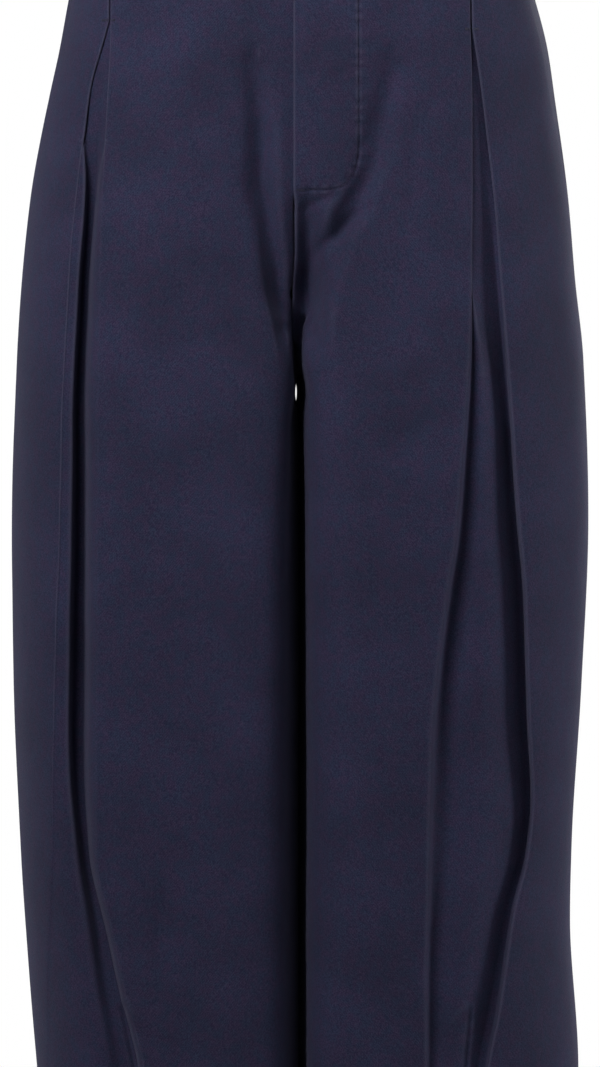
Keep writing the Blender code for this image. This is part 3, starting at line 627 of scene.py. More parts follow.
def on_section(section, along):
    """Places and outward directions at lengths along a section, carried straight on past it."""
    places, length, outward = section
    inside = np.clip(along, 0.0, length[-1])
    at = np.stack([np.interp(inside, length, places[:, k]) for k in (0, 1)], 1)
    way = np.stack([np.interp(inside, length, outward[:, k]) for k in (0, 1)], 1)
    way /= np.linalg.norm(way, axis=1)[:, None]
    start = (places[1] - places[0]) / np.linalg.norm(places[1] - places[0])
    return at + (along - inside)[:, None] * start, way


def path_field(path, out, down):
    """Distance from a path, the share of the way along it, the length along it, and which side
    of it a place lies on, for arrays of places."""
    path = np.asarray(path, float)
    ends = np.diff(path, axis=0)
    lengths = np.linalg.norm(ends, axis=1)
    passed = running(lengths)
    best = np.full(out.shape, np.inf)
    where = np.zeros_like(out)
    side = np.zeros_like(out)
    for k, (start, way) in enumerate(zip(path[:-1], ends)):
        t = ((out - start[0]) * way[0] + (down - start[1]) * way[1]) / lengths[k] ** 2
        t = np.clip(t, 0, 1)
        off = out - start[0] - t * way[0]
        far = np.hypot(off, down - start[1] - t * way[1])
        nearer = far < best
        best = np.where(nearer, far, best)
        where = np.where(nearer, passed[k] + t * lengths[k], where)
        side = np.where(nearer, off, side)
    return best, where / passed[-1], where, side


def crease_height(panel, out, down):
    """How far the creases lift the cloth at these places."""
    height = np.zeros_like(out)
    for rise, near, far, path in CREASES[panel]:
        distance, share, _, side = path_field(path, out, down)
        reach = np.where(side < 0, near, far)
        taper = np.sqrt(np.sin(math.pi * (CREASE_END + (1 - 2 * CREASE_END) * share)))
        height += rise * taper * bell(distance, reach)
    return height


def puckers(path, out, down):
    """Small ripples across a stitched line, fading away from it."""
    distance, _, where, _ = path_field(path, out, down)
    sway = PUCKER_SWAY * np.sin(2 * math.pi * where / PUCKER_SWAY_LENGTH)
    ripple = np.sin(2 * math.pi * (where + sway) / PUCKER_LENGTH)
    return PUCKER_HEIGHT * ripple * bell(distance, PUCKER_REACH)


def dart_height(panel, out, down):
    """A stitched dart: a narrow trough between two soft lips, with puckers beside it."""
    path = DARTS[panel]
    distance, share, _, _ = path_field(path, out, down)
    start = ease(share, 0.0, DART_START)
    trough = -DART_DEPTH * start * bell(distance, DART_REACH)
    lips = DART_LIP * start * bell(distance, DART_LIP_REACH)
    return trough + lips + DART_PUCKERS * puckers(path, out, down) * np.exp(-share / DART_PUCKER_RUN)


def fly_path():
    """The fly's stitched line, down beside the facing's edge and round to the centre front."""
    inset = FLY_WIDTH - FLY_STITCH
    corner = FLY_BOTTOM - FLY_CORNER
    path = [(FLY_STITCH, WAIST_SEAM + FLY_TOP_GAP), (FLY_STITCH, corner)]
    for turn in np.linspace(0, math.pi / 2, FLY_BENDS + 1)[1:]:
        out = FLY_FOOT + (FLY_STITCH - FLY_FOOT) * math.cos(turn)
        path.append((out, corner + (FLY_CORNER - inset / 2) * math.sin(turn)))
    path.append((FLY_STITCH_END, path[-1][1] + FLY_STITCH_DROP))
    return path


def fly_height(out, down):
    """The cloth stands a little proud over the fly facing, and puckers at its stitches."""
    path = fly_path()
    distance, _, _, _ = path_field(path, out, down)
    corner = FLY_BOTTOM - FLY_CORNER
    drop = np.clip((down - corner) / FLY_CORNER, 0, 1)
    edge = FLY_FOOT + (FLY_STITCH - FLY_FOOT) * np.sqrt(1 - drop * drop)
    inside = (out < edge) & (down < path[-1][1])
    step = np.where(inside, ease(distance, 0.0, FLY_PAD_EDGE), 0.0)
    trough = -FLY_TROUGH * bell(distance, FLY_TROUGH_REACH)
    return FLY_PAD * step + trough + FLY_PUCKERS * puckers(path, out, down)


def unevenness(panel, out, down):
    """Soft waves that run mostly down the cloth, the same on each run."""
    waves = np.random.default_rng(sum(map(ord, panel)))
    height = np.zeros_like(out)
    for _ in range(UNEVEN_WAVES):
        length = waves.uniform(*UNEVEN_LENGTHS)
        turn = waves.normal(0.0, UNEVEN_TURN)
        phase = waves.uniform(0, 2 * math.pi)
        across = out * math.cos(turn) + down * math.sin(turn)
        slow = 2 * math.pi * down / (UNEVEN_SWELL_LENGTH * length) + 2 * phase
        swell = 1 - UNEVEN_SWELL + UNEVEN_SWELL * np.sin(slow)
        height += UNEVEN_HEIGHT * length * swell * np.sin(2 * math.pi * across / length + phase)
    return height


def relief(panel, out, down):
    """All that lifts or sinks the cloth of a panel from its plain form."""
    height = crease_height(panel, out, down) + unevenness(panel, out, down)
    if panel in DARTS:
        height += dart_height(panel, out, down)
    if panel == "front_left":
        height += fly_height(out, down)
    return height - HEM_TROUGH * bell(down - (HEM - HEM_STITCH), HEM_TROUGH_REACH)


def spline(controls, stops):
    """A smooth curve that rounds the corners of a run of control points and ends on its ends."""
    controls = np.asarray(controls, float)
    first = 2 * controls[0] - controls[1]
    last = 2 * controls[-1] - controls[-2]
    padded = np.concatenate([[first], controls, [last]])
    stops = np.asarray(stops, float)
    k = np.clip(np.floor(stops).astype(int), 0, len(controls) - 2)
    t = (stops - k)[:, None]
    weights = ((1 - t) ** 3, 3 * t**3 - 6 * t**2 + 4, -3 * t**3 + 3 * t**2 + 3 * t + 1, t**3)
    return sum(w * padded[k + n] for n, w in enumerate(weights)) / 6


def pleat_half(fold, groove, depth, tuck, opened, way, flank):
    """Control points from just before a fold edge down to the groove, as (along, sunk). `way` is
    1 where the groove lies further along than the fold, and -1 where it lies before it."""
    closed = (
        (0.0, 0.0),
        (0.0, LAYER_PITCH),
        (-min(TURN_RUN, tuck / 2), LAYER_PITCH),
        (-tuck, LAYER_PITCH),
        (-tuck, 2 * LAYER_PITCH),
        (min(TURN_RUN, tuck / 2) - tuck, 2 * LAYER_PITCH),
    )
    reach = abs(groove - fold)
    points = [(fold - way * TURN_RUN * 2, 0.0)]
    for (x, y), (across, in_depth) in zip(closed, flank):
        along = (1 - opened) * x + opened * across * reach
        sunk = (1 - opened) * y + opened * in_depth * depth
        points.append((fold + way * along, sunk))
    points.append((groove - way * min(GROOVE_HALF, reach / 3), depth))
    return points


def pleat_controls(side, down, places, length):
    """Control points of the whole pleat, and where along the section it starts and ends."""
    row = {name: read(PLEATS[side], PLEAT_COLUMNS, name, down) for name in PLEAT_COLUMNS[1:]}
    crest = int(np.argmin(places[:, 1]))
    rising = slice(crest, None)
    inner, groove, outer = (
        float(np.interp(row[name], places[rising, 0], length[rising]))
        for name in ("inner_fold", "groove", "outer_fold")
    )
    shape = row["depth"], row["tuck"], row["open"]
    low = ease(down, *FLANK_LEVELS)
    flanks = [(1 - low) * np.array(upper) + low * np.array(lower) for upper, lower in PLEAT_FLANKS[side]]
    first = pleat_half(inner, groove, *shape, 1, flanks[0])
    second = pleat_half(outer, groove, *shape, -1, flanks[1])
    return first + second[::-1], first[0][0], second[0][0]


def mouth(side, down):
    """Length of the pocket facing that shows at a level."""
    return read(MOUTH, MOUTH_COLUMNS, side, down)


def marks(panel, section, down):
    """Lengths along a section that need closer columns, at a dart and the fly's stitches, each
    with how much it needs them."""
    places, length, _ = section
    crest = int(np.argmax(np.abs(places[:, 1])))
    found = []
    path = DARTS.get(panel)
    if path and down > path[0][1]:
        tip = path[0][1]
        out = float(np.interp(down, [p[1] for p in path], [p[0] for p in path]))
        along = float(np.interp(out, places[crest:, 0], length[crest:]))
        found.append((along, ease(down, tip, tip + MARK_RAMP)))
    if panel == "front_left" and down < FLY_BOTTOM:
        found.append((FLY_STITCH, 1 - ease(down, FLY_BOTTOM - MARK_RAMP, FLY_BOTTOM)))
    return found


def share_out(line, section, found, count):
    """The points of a row's line at which its columns stand."""
    along, sunk = line[:, 0], line[:, 1]
    steps = np.diff(line, axis=0)
    lengths = np.linalg.norm(steps, axis=1)
    angles = np.unwrap(np.arctan2(steps[:, 1], steps[:, 0]))
    turned = np.abs(np.gradient(angles))
    middle = (along[1:] + along[:-1]) / 2
    bends = bend_measure(section[0], section[1])
    turned = turned + np.abs(np.diff(np.interp(along, section[1], bends)))
    hidden = (steps[:, 0] < 0) | (np.abs(steps[:, 1]) > np.abs(steps[:, 0]))
    weight = lengths / COLUMN_STEP * np.where(hidden, HIDDEN_SHARE, 1.0) + turned / COLUMN_TURN
    for place_along, strength in found:
        near = bell(middle - place_along, MARK_REACH)
        weight += strength * near * lengths / MARK_STEP
    total = running(weight)
    wanted = np.linspace(0, total[-1], count)
    return np.stack([np.interp(wanted, total, along), np.interp(wanted, total, sunk)], 1)


def edge_profile(section, side, half, down, last):
    """The edge of a panel at one level, as (distance in from the edge, how far sunk)."""
    crossing, rolled = np.array(CROSSING_EDGE), np.array(ROLLED_EDGE)
    if last and half == "back":
        return rolled
    if last:
        shown = ease(mouth(side, down), 0.0, MOUTH_EDGE_FADE)
        return (1 - shown) * crossing + shown * rolled * (1.0, MOUTH_EDGE_DEPTH)
    below = ease(down, *CROTCH_SPAN)
    crosses = below if half == "front" else 0.0
    if side == "right":
        crosses += 1 - below
    profile = crosses * crossing + (1 - crosses) * rolled
    if half == "front":
        lapped = np.array(LAPPING_EDGE if side == "left" else LAPPED_EDGE)
        fly = 1 - ease(down, *FLY_END)
        profile = (1 - fly) * profile + fly * lapped
    reach = ROLLED_EDGE[0][0]
    at, _ = on_section(section, np.array([0.0, reach]))
    turned = ease(down, RISE_TURN[half], RISE_TURN[half] + EDGE_TURNS[half])
    sideways = ease(abs(at[1, 1] - at[0, 1]) / reach, *EDGE_SLOPES) * turned
    rise = sideways * (1 - below)
    return (1 - rise) * profile + rise * np.array(STRAIGHT_EDGE)


def panel_line(panel, side, half, down, section):
    """One level of a panel as (along, sunk), edges included, and where its pleat starts and ends."""
    places, length, _ = section
    first = edge_profile(section, side, half, down, False)
    last = edge_profile(section, side, half, down, True)
    if half == "front":
        pleat, start, end = pleat_controls(side, down, places, length)
        edge = length[-1] - mouth(side, down)
        centre = [(x, 0.0) for x in stations(places, length, start, CENTRE_SPANS)[:-1]]
        flank = [(x, 0.0) for x in np.linspace(end, edge, SIDE_SPANS + 1)[1:]]
        controls = centre + pleat + flank
        line = spline(controls, np.arange(0, len(controls) - 1 + LINE_STEP / 2, LINE_STEP))
        count = FRONT_COLUMNS
    else:
        edge = length[-1]
        line = np.stack([np.linspace(0, edge, 4 * BACK_COLUMNS), np.zeros(4 * BACK_COLUMNS)], 1)
        count = BACK_COLUMNS
    low, high = first[0, 0], edge - last[0, 0]
    keep = (line[:, 0] > low) & (line[:, 0] < high) | (line[:, 1] > SEAM_GAP)
    line = np.concatenate([[[low, 0.0]], line[keep], [[high, 0.0]]])
    inner = share_out(line, section, marks(panel, section, down), count)
    head = first[::-1].copy()
    tail = last.copy()
    tail[:, 0] = edge - tail[:, 0]
    pleated = (start, end) if half == "front" else (edge, edge)
    return np.concatenate([head[:-1], inner, tail[1:]]), pleated


def level_rows(half, counts):
    """Levels of a panel's rows, each with how far it is sunk. Besides the levels of CLOSE_ROWS
    and HIP_ROWS, they stand closer where the crotch curve turns."""
    top = WAIST_SEAM + SEAM_GAP + WAIST_CLEARANCE
    foot = HEM - HEM_FOLD
    down = np.linspace(top, foot, LEVEL_SAMPLES)
    weight = np.full_like(down, 1 / ROW_PITCH)
    weight += (1 / ROW_PITCH) * ((down > HIP_ROWS[0]) & (down < HIP_ROWS[1]))
    for level, pitch, reach, fronts_only in CLOSE_ROWS:
        if half == "front" or not fronts_only:
            weight += bell(down - level, reach) / pitch
    turn = RISE_TURN[half]
    angle = np.arcsin(np.clip((down - turn) / (CROTCH - turn), 0, 1))
    measure = running(weight[1:] * np.diff(down))
    measure += RISE_ROWS * angle / (math.pi / 2)
    middle = float(np.interp(CROTCH, down, measure))
    upper = np.interp(np.linspace(0, middle, counts[0] + 1), measure, down)
    lower = np.interp(np.linspace(middle, measure[-1], counts[1] + 1), measure, down)
    upper[-1] = CROTCH
    rows = [(top - above, sunk) for above, sunk in WAIST_ROWS]
    rows += [(float(x), 0.0) for x in np.concatenate([upper, lower[1:]])]
    for turn in np.linspace(0, math.pi, HEM_FOLD_ROWS + 1)[1:]:
        rows.append((foot + HEM_FOLD * math.sin(turn), HEM_FOLD * (1 - math.cos(turn))))
    for up in np.linspace(HEM_TURN_START, HEM_TURN, HEM_TURN_ROWS):
        rows.append((foot - up, 2 * HEM_FOLD))
    return rows


def hollow_share(side, out, down):
    """How much of the hollow's depth a place this far out has."""
    across = sign(side) * out
    reach = HOLLOW_RIGHT - HOLLOW_NARROWS * ease(down, *HOLLOW_NARROWING)
    slope = np.clip((across + reach) / (HOLLOW_LOWEST + reach), 0.0, 1.0)
    return slope * ease(slope, 0.0, HOLLOW_EDGE) * (1 - ease(across, HOLLOW_LOWEST, HOLLOW_LEFT))


def spread(panel, side, half, levels, lines, sections, pleated=None):
    """The points of a cloth piece: its lines laid on the sections, with the relief added.

    Inside a pleat the cloth is sunk straight back, at the back's inner edge below the turn of the
    crotch curve straight forward, and elsewhere along the section's normal.
    """
    at, way = [], []
    for section, line in zip(sections, lines):
        places, outward = on_section(section, line[:, 0])
        at.append(places)
        way.append(outward)
    at = np.array(at)
    way = np.array(way)
    lines = np.array(lines)
    down = np.repeat(np.array(levels)[:, None], at.shape[1], 1)
    height = np.zeros_like(down)
    worn_as = "front_left" if panel == "fly_facing" else panel
    if worn_as in CREASES:
        faced = np.abs(way[:, :, 1]) ** 0.5
        free = 1 - bell(np.maximum(lines[:, :, 0], 0), SEAM_HOLD)
        height = relief(worn_as, at[:, :, 0], down) * faced * free
    if half == "front":
        fade = 1 - ease(down, FLY_BOTTOM, RISE_TURN["front"])
        height += sign(side) * FLY_LIFT * fade * bell(lines[:, :, 0], FLY_LIFT_REACH)
    inwards = -way
    if pleated is not None and half == "front":
        start, end = np.array(pleated).T[:, :, None]
        inwards[(lines[:, :, 0] > start) & (lines[:, :, 0] < end)] = (0.0, 1.0)
    if half == "back":
        turned = (down > RISE_TURN["back"]) & (down < CROTCH_SPAN[0])
        inwards[turned & (lines[:, :, 0] < ROLLED_EDGE[0][0])] = (0.0, -1.0)
    at = at + way * height[:, :, None] + inwards * lines[:, :, 1][:, :, None]
    if half == "front":
        sink = ease(down, *HOLLOW_START) * (1 - ease(down, *HOLLOW_END))
        at[:, :, 1] += HOLLOW_DEPTH * sink * hollow_share(side, at[:, :, 0], down)
    width = np.array([section[0][:, 0].max() for section in sections])[:, None]
    shift = CENTRE_SHIFT * (1 - ease(down, RISE_TURN["front"], CROTCH)) * (half == "front")
    turn = 2 * math.pi * (at[:, :, 1] - WAVE_FRONT) / WAVE_LENGTH
    wave = WAVE_HEIGHT * ease(down, *WAVE_START) * np.sin(turn)
    wave = wave * (1 - bell(down - SLIT, SLIT_REACH))
    x = sign(side) * at[:, :, 0]
    x = x + shift * (1 - (at[:, :, 0] / width).clip(0, 1) ** 2)
    x = x + wave * bell(at[:, :, 0], WAVE_REACH)
    return np.stack([x, at[:, :, 1], -down], 2)


def panel_points(side, half):
    """All points of a front or back, row by row."""
    panel = half + "_" + side
    rows = level_rows(half, FRONT_ROWS if half == "front" else BACK_ROWS)
    sections = [base_curve(side, half, down) for down, _ in rows]
    lines, pleated = [], []
    for (down, inward), section in zip(rows, sections):
        line, pleat = panel_line(panel, side, half, down, section)
        line[:, 1] += inward
        lines.append(line)
        pleated.append(pleat)
    return spread(panel, side, half, [down for down, _ in rows], lines, sections, pleated)


def bent(points):
    """How sharply the cloth bends outwards across its columns and rows, per metre."""
    across = np.gradient(points, axis=1)
    down_way = np.gradient(points, axis=0)
    normal = np.cross(across, down_way)
    normal /= np.linalg.norm(normal, axis=2)[:, :, None] + 1e-12
    total = np.zeros(points.shape[:2])
    for axis in (0, 1):
        middle = [slice(None)] * 2
        middle[axis] = slice(1, -1)
        middle = tuple(middle)
        before = np.take(points, range(0, points.shape[axis] - 2), axis)
        after = np.take(points, range(2, points.shape[axis]), axis)
        lift = points[middle] - (before + after) / 2
        step = np.linalg.norm(after - before, axis=2) / 2 + 1e-6
        total[middle] += (lift * normal[middle]).sum(2) / step**2
    return -total


def deselect():
    """Leaves nothing selected."""
    for thing in bpy.context.selected_objects:
        thing.select_set(False)


def pick(piece):
    """Leaves only this piece selected, and makes it the active one."""
    deselect()
    piece.select_set(True)
    bpy.context.view_layer.objects.active = piece


def round_edges(piece, name, width, angle):
    """Rounds the edges of a piece that turn by more than the angle, in degrees."""
    rounded = piece.modifiers.new(name, "BEVEL")
    rounded.width = width
    rounded.segments = 3
    rounded.limit_method = "ANGLE"
    rounded.angle_limit = math.radians(angle)


def grid_cloth(name, points, outward, wall, materials):
    """A cloth piece: a grid whose vertices are laid on the points, given its wall by Solidify.

    `outward` is False where the points run the other way round, so that the face would look in.
    """
    rows, columns = points.shape[:2]
    deselect()
    bpy.ops.mesh.primitive_grid_add(x_subdivisions=columns - 1, y_subdivisions=rows - 1, size=2)
    piece = bpy.context.object
    piece.name = name
    mesh = piece.data
    mesh.name = name
    flat = np.zeros(len(mesh.vertices) * 3)
    mesh.vertices.foreach_get("co", flat)
    flat = flat.reshape(-1, 3)
    column = np.rint((flat[:, 0] + 1) / 2 * (columns - 1)).astype(int)
    row = np.rint((1 - flat[:, 1]) / 2 * (rows - 1)).astype(int)
    if not outward:
        column = columns - 1 - column
    bends = bent(points) * (1.0 if outward else -1.0)
    mesh.vertices.foreach_set("co", points[row, column].ravel())
    across = np.linalg.norm(np.diff(points, axis=1), axis=2)
    passed = np.concatenate([np.zeros((rows, 1)), np.cumsum(across, 1)], 1)
    plumb = slice(columns // 3, columns // 3 + 1)
    passed = passed - passed[:, plumb] + np.abs(points[:, plumb, 0])
    layer = mesh.uv_layers.active or mesh.uv_layers.new(name="cut")
    layer.name = "cut"
    loops = np.zeros(len(mesh.loops), int)
    mesh.loops.foreach_get("vertex_index", loops)
    cut = np.stack([passed[row, column], points[row, column, 2]], 1)
    layer.data.foreach_set("uv", cut[loops].ravel())
    # Bend attribute for the colour: paler on outward bends (rubbed nap plus a painted highlight), darker on
    # inward bends (painted shade in creases)
    worn = mesh.attributes.new("worn", "FLOAT", "POINT")
    worn.data.foreach_set("value", np.clip(bends[row, column] / WEAR_AND_PAINTED_LIGHT_BEND, -1, 1))
    mesh.shade_smooth()
    mesh.update()
    for material in materials:
        mesh.materials.append(material)
    thickness = piece.modifiers.new("wall", "SOLIDIFY")
    thickness.thickness = wall
    thickness.offset = 0.0
    thickness.material_offset = len(materials) - 1
    return piece


def add(tree, kind, **settings):
    """A new node with its settings."""
    made = tree.nodes.new(kind)
    for key, value in settings.items():
        setattr(made, key, value)
    return made


def tune(made, **values):
    """Sets a node's own sockets. An underscore stands for a space in a socket's name."""
    for key, value in values.items():
        made.inputs[key.replace("_", " ")].default_value = value
    return made


def mixed(tree, factor, first, second, mode="MIX"):
    """A colour mix. The factor and both colours are sockets or constants."""
    made = add(tree, "ShaderNodeMix", data_type="RGBA", blend_type=mode)
    for k, value in ((0, factor), (6, first), (7, second)):
        socket = made.inputs[k]
        if isinstance(value, (int, float)):
            socket.default_value = value
        elif isinstance(value, (tuple, list)):
            socket.default_value = (*value[:3], 1.0)
        else:
            tree.links.new(value, socket)
    return made.outputs[2]


def reckoned(tree, operation, first, second):
    """A sum or product of two sockets or constants."""
    made = add(tree, "ShaderNodeMath", operation=operation)
    for socket, value in zip(made.inputs, (first, second)):
        if isinstance(value, (int, float)):
            socket.default_value = value
        else:
            tree.links.new(value, socket)
    return made.outputs[0]


def mapped(tree, value, low, high, to_low=0.0, to_high=1.0):
    """A socket's range from low to high, carried over to another range."""
    made = add(tree, "ShaderNodeMapRange")
    tune(made, From_Min=low, From_Max=high, To_Min=to_low, To_Max=to_high)
    tree.links.new(value, made.inputs["Value"])
    return made.outputs["Result"]


def blotches(tree, place_in, **values):
    """Noise laid on a place."""
    made = tune(add(tree, "ShaderNodeTexNoise"), **values)
    tree.links.new(place_in, made.inputs["Vector"])
    return made.outputs["Fac"]


def ribs(tree, place_in, direction, pitch, **values):
    """Fine ribs at an even pitch, a little wavy."""
    made = add(tree, "ShaderNodeTexWave", bands_direction=direction)
    tune(made, Scale=math.pi / 10 / pitch, **values)
    tree.links.new(place_in, made.inputs["Vector"])
    return made.outputs["Fac"]


def turned_place(tree, place_in, turn):
    """A place turned by three angles."""
    made = add(tree, "ShaderNodeMapping")
    made.inputs["Rotation"].default_value = turn
    tree.links.new(place_in, made.inputs["Vector"])
    return made.outputs[0]


def raised(tree, height, strength, distance, under=None):
    """A bump from a height, on top of another bump where one is given."""
    made = tune(add(tree, "ShaderNodeBump"), Strength=strength, Distance=distance)
    tree.links.new(height, made.inputs["Height"])
    if under is not None:
        tree.links.new(under, made.inputs["Normal"])
    return made.outputs[0]


def new_material(name):
    """A new material with its node tree, its shader and the Object coordinates."""
    made = bpy.data.materials.new(name)
    made.use_nodes = True
    tree = made.node_tree
    return made, tree, tree.nodes["Principled BSDF"], add(tree, "ShaderNodeTexCoord").outputs["Object"]


def scaled(colour, factor):
    """A colour made darker or lighter."""
    return tuple(channel * factor for channel in colour[:3])


def twill(name, cloth, tone=1.0, sheen=1.0):
    """Dark navy cotton twill: fine slanting wales, a brushed nap and a faint two-tone mottle."""
    made, tree, shader, place_in = new_material(name)
    navy = scaled(cloth.navy, tone)
    cut = add(tree, "ShaderNodeUVMap", uv_map="cut").outputs[0]

    slanted = turned_place(tree, cut, (0, 0, cloth.twill_slant))
    wales = ribs(tree, slanted, "X", cloth.twill_pitch, Distortion=2.2, Detail=2.0, Detail_Scale=1.6)
    yarns = ribs(tree, cut, "Y", cloth.yarn_pitch, Distortion=3.0, Detail=2.0, Detail_Scale=1.2)
    nap = blotches(tree, place_in, Scale=1500.0, Detail=3.0, Roughness=0.6)
    grain = blotches(tree, place_in, Scale=1250.0, Detail=2.0, Roughness=0.6)
    mottle = blotches(tree, place_in, Scale=165.0, Detail=4.0, Roughness=0.62)
    patch = blotches(tree, place_in, Scale=22.0, Detail=3.0, Roughness=0.5)
    crumple = blotches(tree, place_in, Scale=60.0, Detail=4.0, Roughness=0.5)

    weave = reckoned(tree, "MULTIPLY", wales, 0.55)
    weave = reckoned(tree, "ADD", weave, reckoned(tree, "MULTIPLY", yarns, 0.20))
    weave = reckoned(tree, "ADD", weave, reckoned(tree, "MULTIPLY", nap, 0.75))

    colour = mixed(tree, mapped(tree, weave, 0.35, 1.1), scaled(navy, 0.74), scaled(navy, 1.24))
    for pattern, low, high, dark, light in (
        (grain, 0.34, 0.66, (0.62, 0.62, 0.75), (1.38, 1.38, 1.25)),
        (mottle, 0.40, 0.60, (1.17, 0.94, 0.99), (0.85, 1.06, 1.03)),
        (patch, 0.35, 0.65, (0.88, 0.88, 0.88), (1.10, 1.10, 1.10)),
    ):
        tint = mixed(tree, mapped(tree, pattern, low, high), dark, light)
        colour = mixed(tree, 1.0, colour, tint, "MULTIPLY")
    # Outward bends mix in a paler colour: partly rubbed nap, partly a painted highlight along the fold edges
    worn = add(tree, "ShaderNodeAttribute", attribute_name="worn").outputs["Fac"]
    rubbed_nap_and_highlight = mapped(tree, worn, 0.10, 0.75, 0.0, 0.42)
    colour = mixed(tree, rubbed_nap_and_highlight, colour, scaled(cloth.rubbed_nap_and_highlight, tone))
    # Inward bends mix in a darker navy: painted shade in creases and grooves
    painted_crease_shade = mapped(tree, worn, -0.7, -0.12, 0.45, 0.0)
    colour = mixed(tree, painted_crease_shade, colour, scaled(navy, 0.55))
    tree.links.new(colour, shader.inputs["Base Color"])

    fine = raised(tree, weave, 0.55, 0.00022, raised(tree, crumple, 0.22, 0.0012))
    tree.links.new(fine, shader.inputs["Normal"])
    tree.links.new(mapped(tree, nap, 0.3, 0.7, 0.80, 0.95), shader.inputs["Roughness"])
    tune(shader, Specular_IOR_Level=0.22, Sheen_Weight=cloth.sheen * sheen, Sheen_Roughness=0.45)
    tune(shader, Sheen_Tint=(0.52, 0.52, 0.78, 1.0))
    made.diffuse_color = (*navy, 1.0)
    return made


def thread_material(name, colour):
    """Spun sewing thread: two fine plies wound round each other."""
    made, tree, shader, place_in = new_material(name)
    slanted = turned_place(tree, place_in, (0.6, 0.5, 0.7))
    plies = ribs(tree, slanted, "X", 0.00035, Distortion=1.0, Detail=1.0, Detail_Scale=1.0)
    shade = mixed(tree, plies, scaled(colour, 0.7), scaled(colour, 1.25))
    tree.links.new(shade, shader.inputs["Base Color"])
    tree.links.new(raised(tree, plies, 0.5, 0.0001), shader.inputs["Normal"])
    tune(shader, Roughness=0.6, Specular_IOR_Level=0.35)
    made.diffuse_color = (*colour[:3], 1.0)
    return made


def horn_material(name, colour):
    """Dark navy resin with faint swirled streaks, like polished horn."""
    made, tree, shader, place_in = new_material(name)
    streaks = blotches(tree, place_in, Scale=130.0, Detail=4.0, Distortion=2.2)
    shade = mixed(tree, mapped(tree, streaks, 0.35, 0.7), scaled(colour, 0.7), scaled(colour, 2.4))
    tree.links.new(shade, shader.inputs["Base Color"])
    scuffs = blotches(tree, place_in, Scale=900.0, Detail=3.0)
    tree.links.new(mapped(tree, scuffs, 0.3, 0.7, 0.26, 0.42), shader.inputs["Roughness"])
    tree.links.new(raised(tree, scuffs, 0.15, 0.0001), shader.inputs["Normal"])
    tune(shader, Coat_Weight=0.25)
    made.diffuse_color = (*colour[:3], 1.0)
    return made


def floor_material(colour, glow):
    """The pale floor, which glows a little where the camera sees it."""
    made, tree, shader, place_in = new_material("pale_floor")
    grain = blotches(tree, place_in, Scale=3.0, Detail=3.0)
    tree.links.new(mixed(tree, grain, scaled(colour, 0.99), colour[:]), shader.inputs["Base Color"])
    tune(shader, Roughness=0.85, Emission_Color=(*colour, 1.0))
    seen = add(tree, "ShaderNodeLightPath").outputs["Is Camera Ray"]
    tree.links.new(mapped(tree, seen, 0.0, 1.0, 0.0, glow), shader.inputs["Emission Strength"])
    return made


def dress(piece):
    """A finished piece rides on the garment's one body."""
    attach(piece, "root")


def cloth_materials(cloth):
    """The outer and inner faces of the cloth, made once."""
    if "outer" not in form:
        form["outer"] = twill("navy_twill", cloth)
        form["inner"] = twill("navy_twill_inside", cloth, 0.86, 0.7)
    return [form["outer"], form["inner"]]


def make_panel(side, half):
    """Makes one front or back. Its points are kept for the sewing."""
    name = half + "_" + side
    cloth = bpy.context.scene.trousers_cloth
    points = panel_points(side, half)
    form[name] = points
    outward = (side == "left") == (half == "front")
    piece = grid_cloth(name + "_cloth", points, outward, cloth.wall, cloth_materials(cloth))
    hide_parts(name)
    dress(piece)


class TrousersCloth(PropertyGroup):
    """The cloth's own sizes and colours."""

    wall: FloatProperty(name="Wall", description="Thickness of the cloth", default=CLOTH, unit="LENGTH")
    navy: FloatVectorProperty(
        name="Navy",
        description="The cloth's main colour",
        default=(0.0262, 0.0254, 0.0610),
        subtype="COLOR",
        size=3,
    )
    # The paler colour of outward bends and fold edges: rubbed nap together with a painted highlight
    rubbed_nap_and_highlight: FloatVectorProperty(
        name="Rubbed",
        description="Colour of the nap on worn edges",
        default=(0.075, 0.074, 0.120),
        subtype="COLOR",
        size=3,
    )
    twill_pitch: FloatProperty(
        name="Twill pitch",
        description="Distance between two wales",
        default=0.00085,
        unit="LENGTH",
        precision=5,
    )
    yarn_pitch: FloatProperty(
        name="Yarn pitch",
        description="Distance between two weft yarns",
        default=0.00055,
        unit="LENGTH",
        precision=5,
    )
    twill_slant: FloatProperty(
        name="Twill slant",
        description="How far the wales lean from the grain",
        default=math.radians(28),
        subtype="ANGLE",
    )
    sheen: FloatProperty(
        name="Nap sheen", description="Strength of the pale nap", default=0.12, subtype="FACTOR"
    )


class TrousersSewing(PropertyGroup):
    """The sewing's sizes and colour."""

    stitch_length: FloatProperty(
        name="Stitch", description="Length of a stitch", default=0.0023, unit="LENGTH"
    )
    stitch_pitch: FloatProperty(
        name="Pitch", description="From stitch to stitch", default=0.0030, unit="LENGTH"
    )
    thread: FloatProperty(
        name="Thread", description="Width of the thread", default=0.00034, unit="LENGTH", precision=5
    )
    colour: FloatVectorProperty(
        name="Thread colour",
        description="Colour of the thread",
        default=(0.026, 0.026, 0.055),
        subtype="COLOR",
        size=3,
    )


class TrousersButton(PropertyGroup):
    """The waist button's sizes."""

    radius: FloatProperty(
        name="Radius", description="Half the button's width", default=0.0085, unit="LENGTH"
    )
    height: FloatProperty(
        name="Height", description="Thickness of the button", default=0.0030, unit="LENGTH"
    )
    dish: FloatProperty(
        name="Dish", description="Depth of its dished face", default=0.0009, unit="LENGTH"
    )
    hole: FloatProperty(
        name="Hole", description="Radius of a thread hole", default=0.00085, unit="LENGTH", precision=5
    )
    hole_place: FloatProperty(
        name="Hole place", description="From the middle to a hole", default=0.0021, unit="LENGTH"
    )
    steps: IntProperty(name="Steps", description="Faces round the rim", default=72)


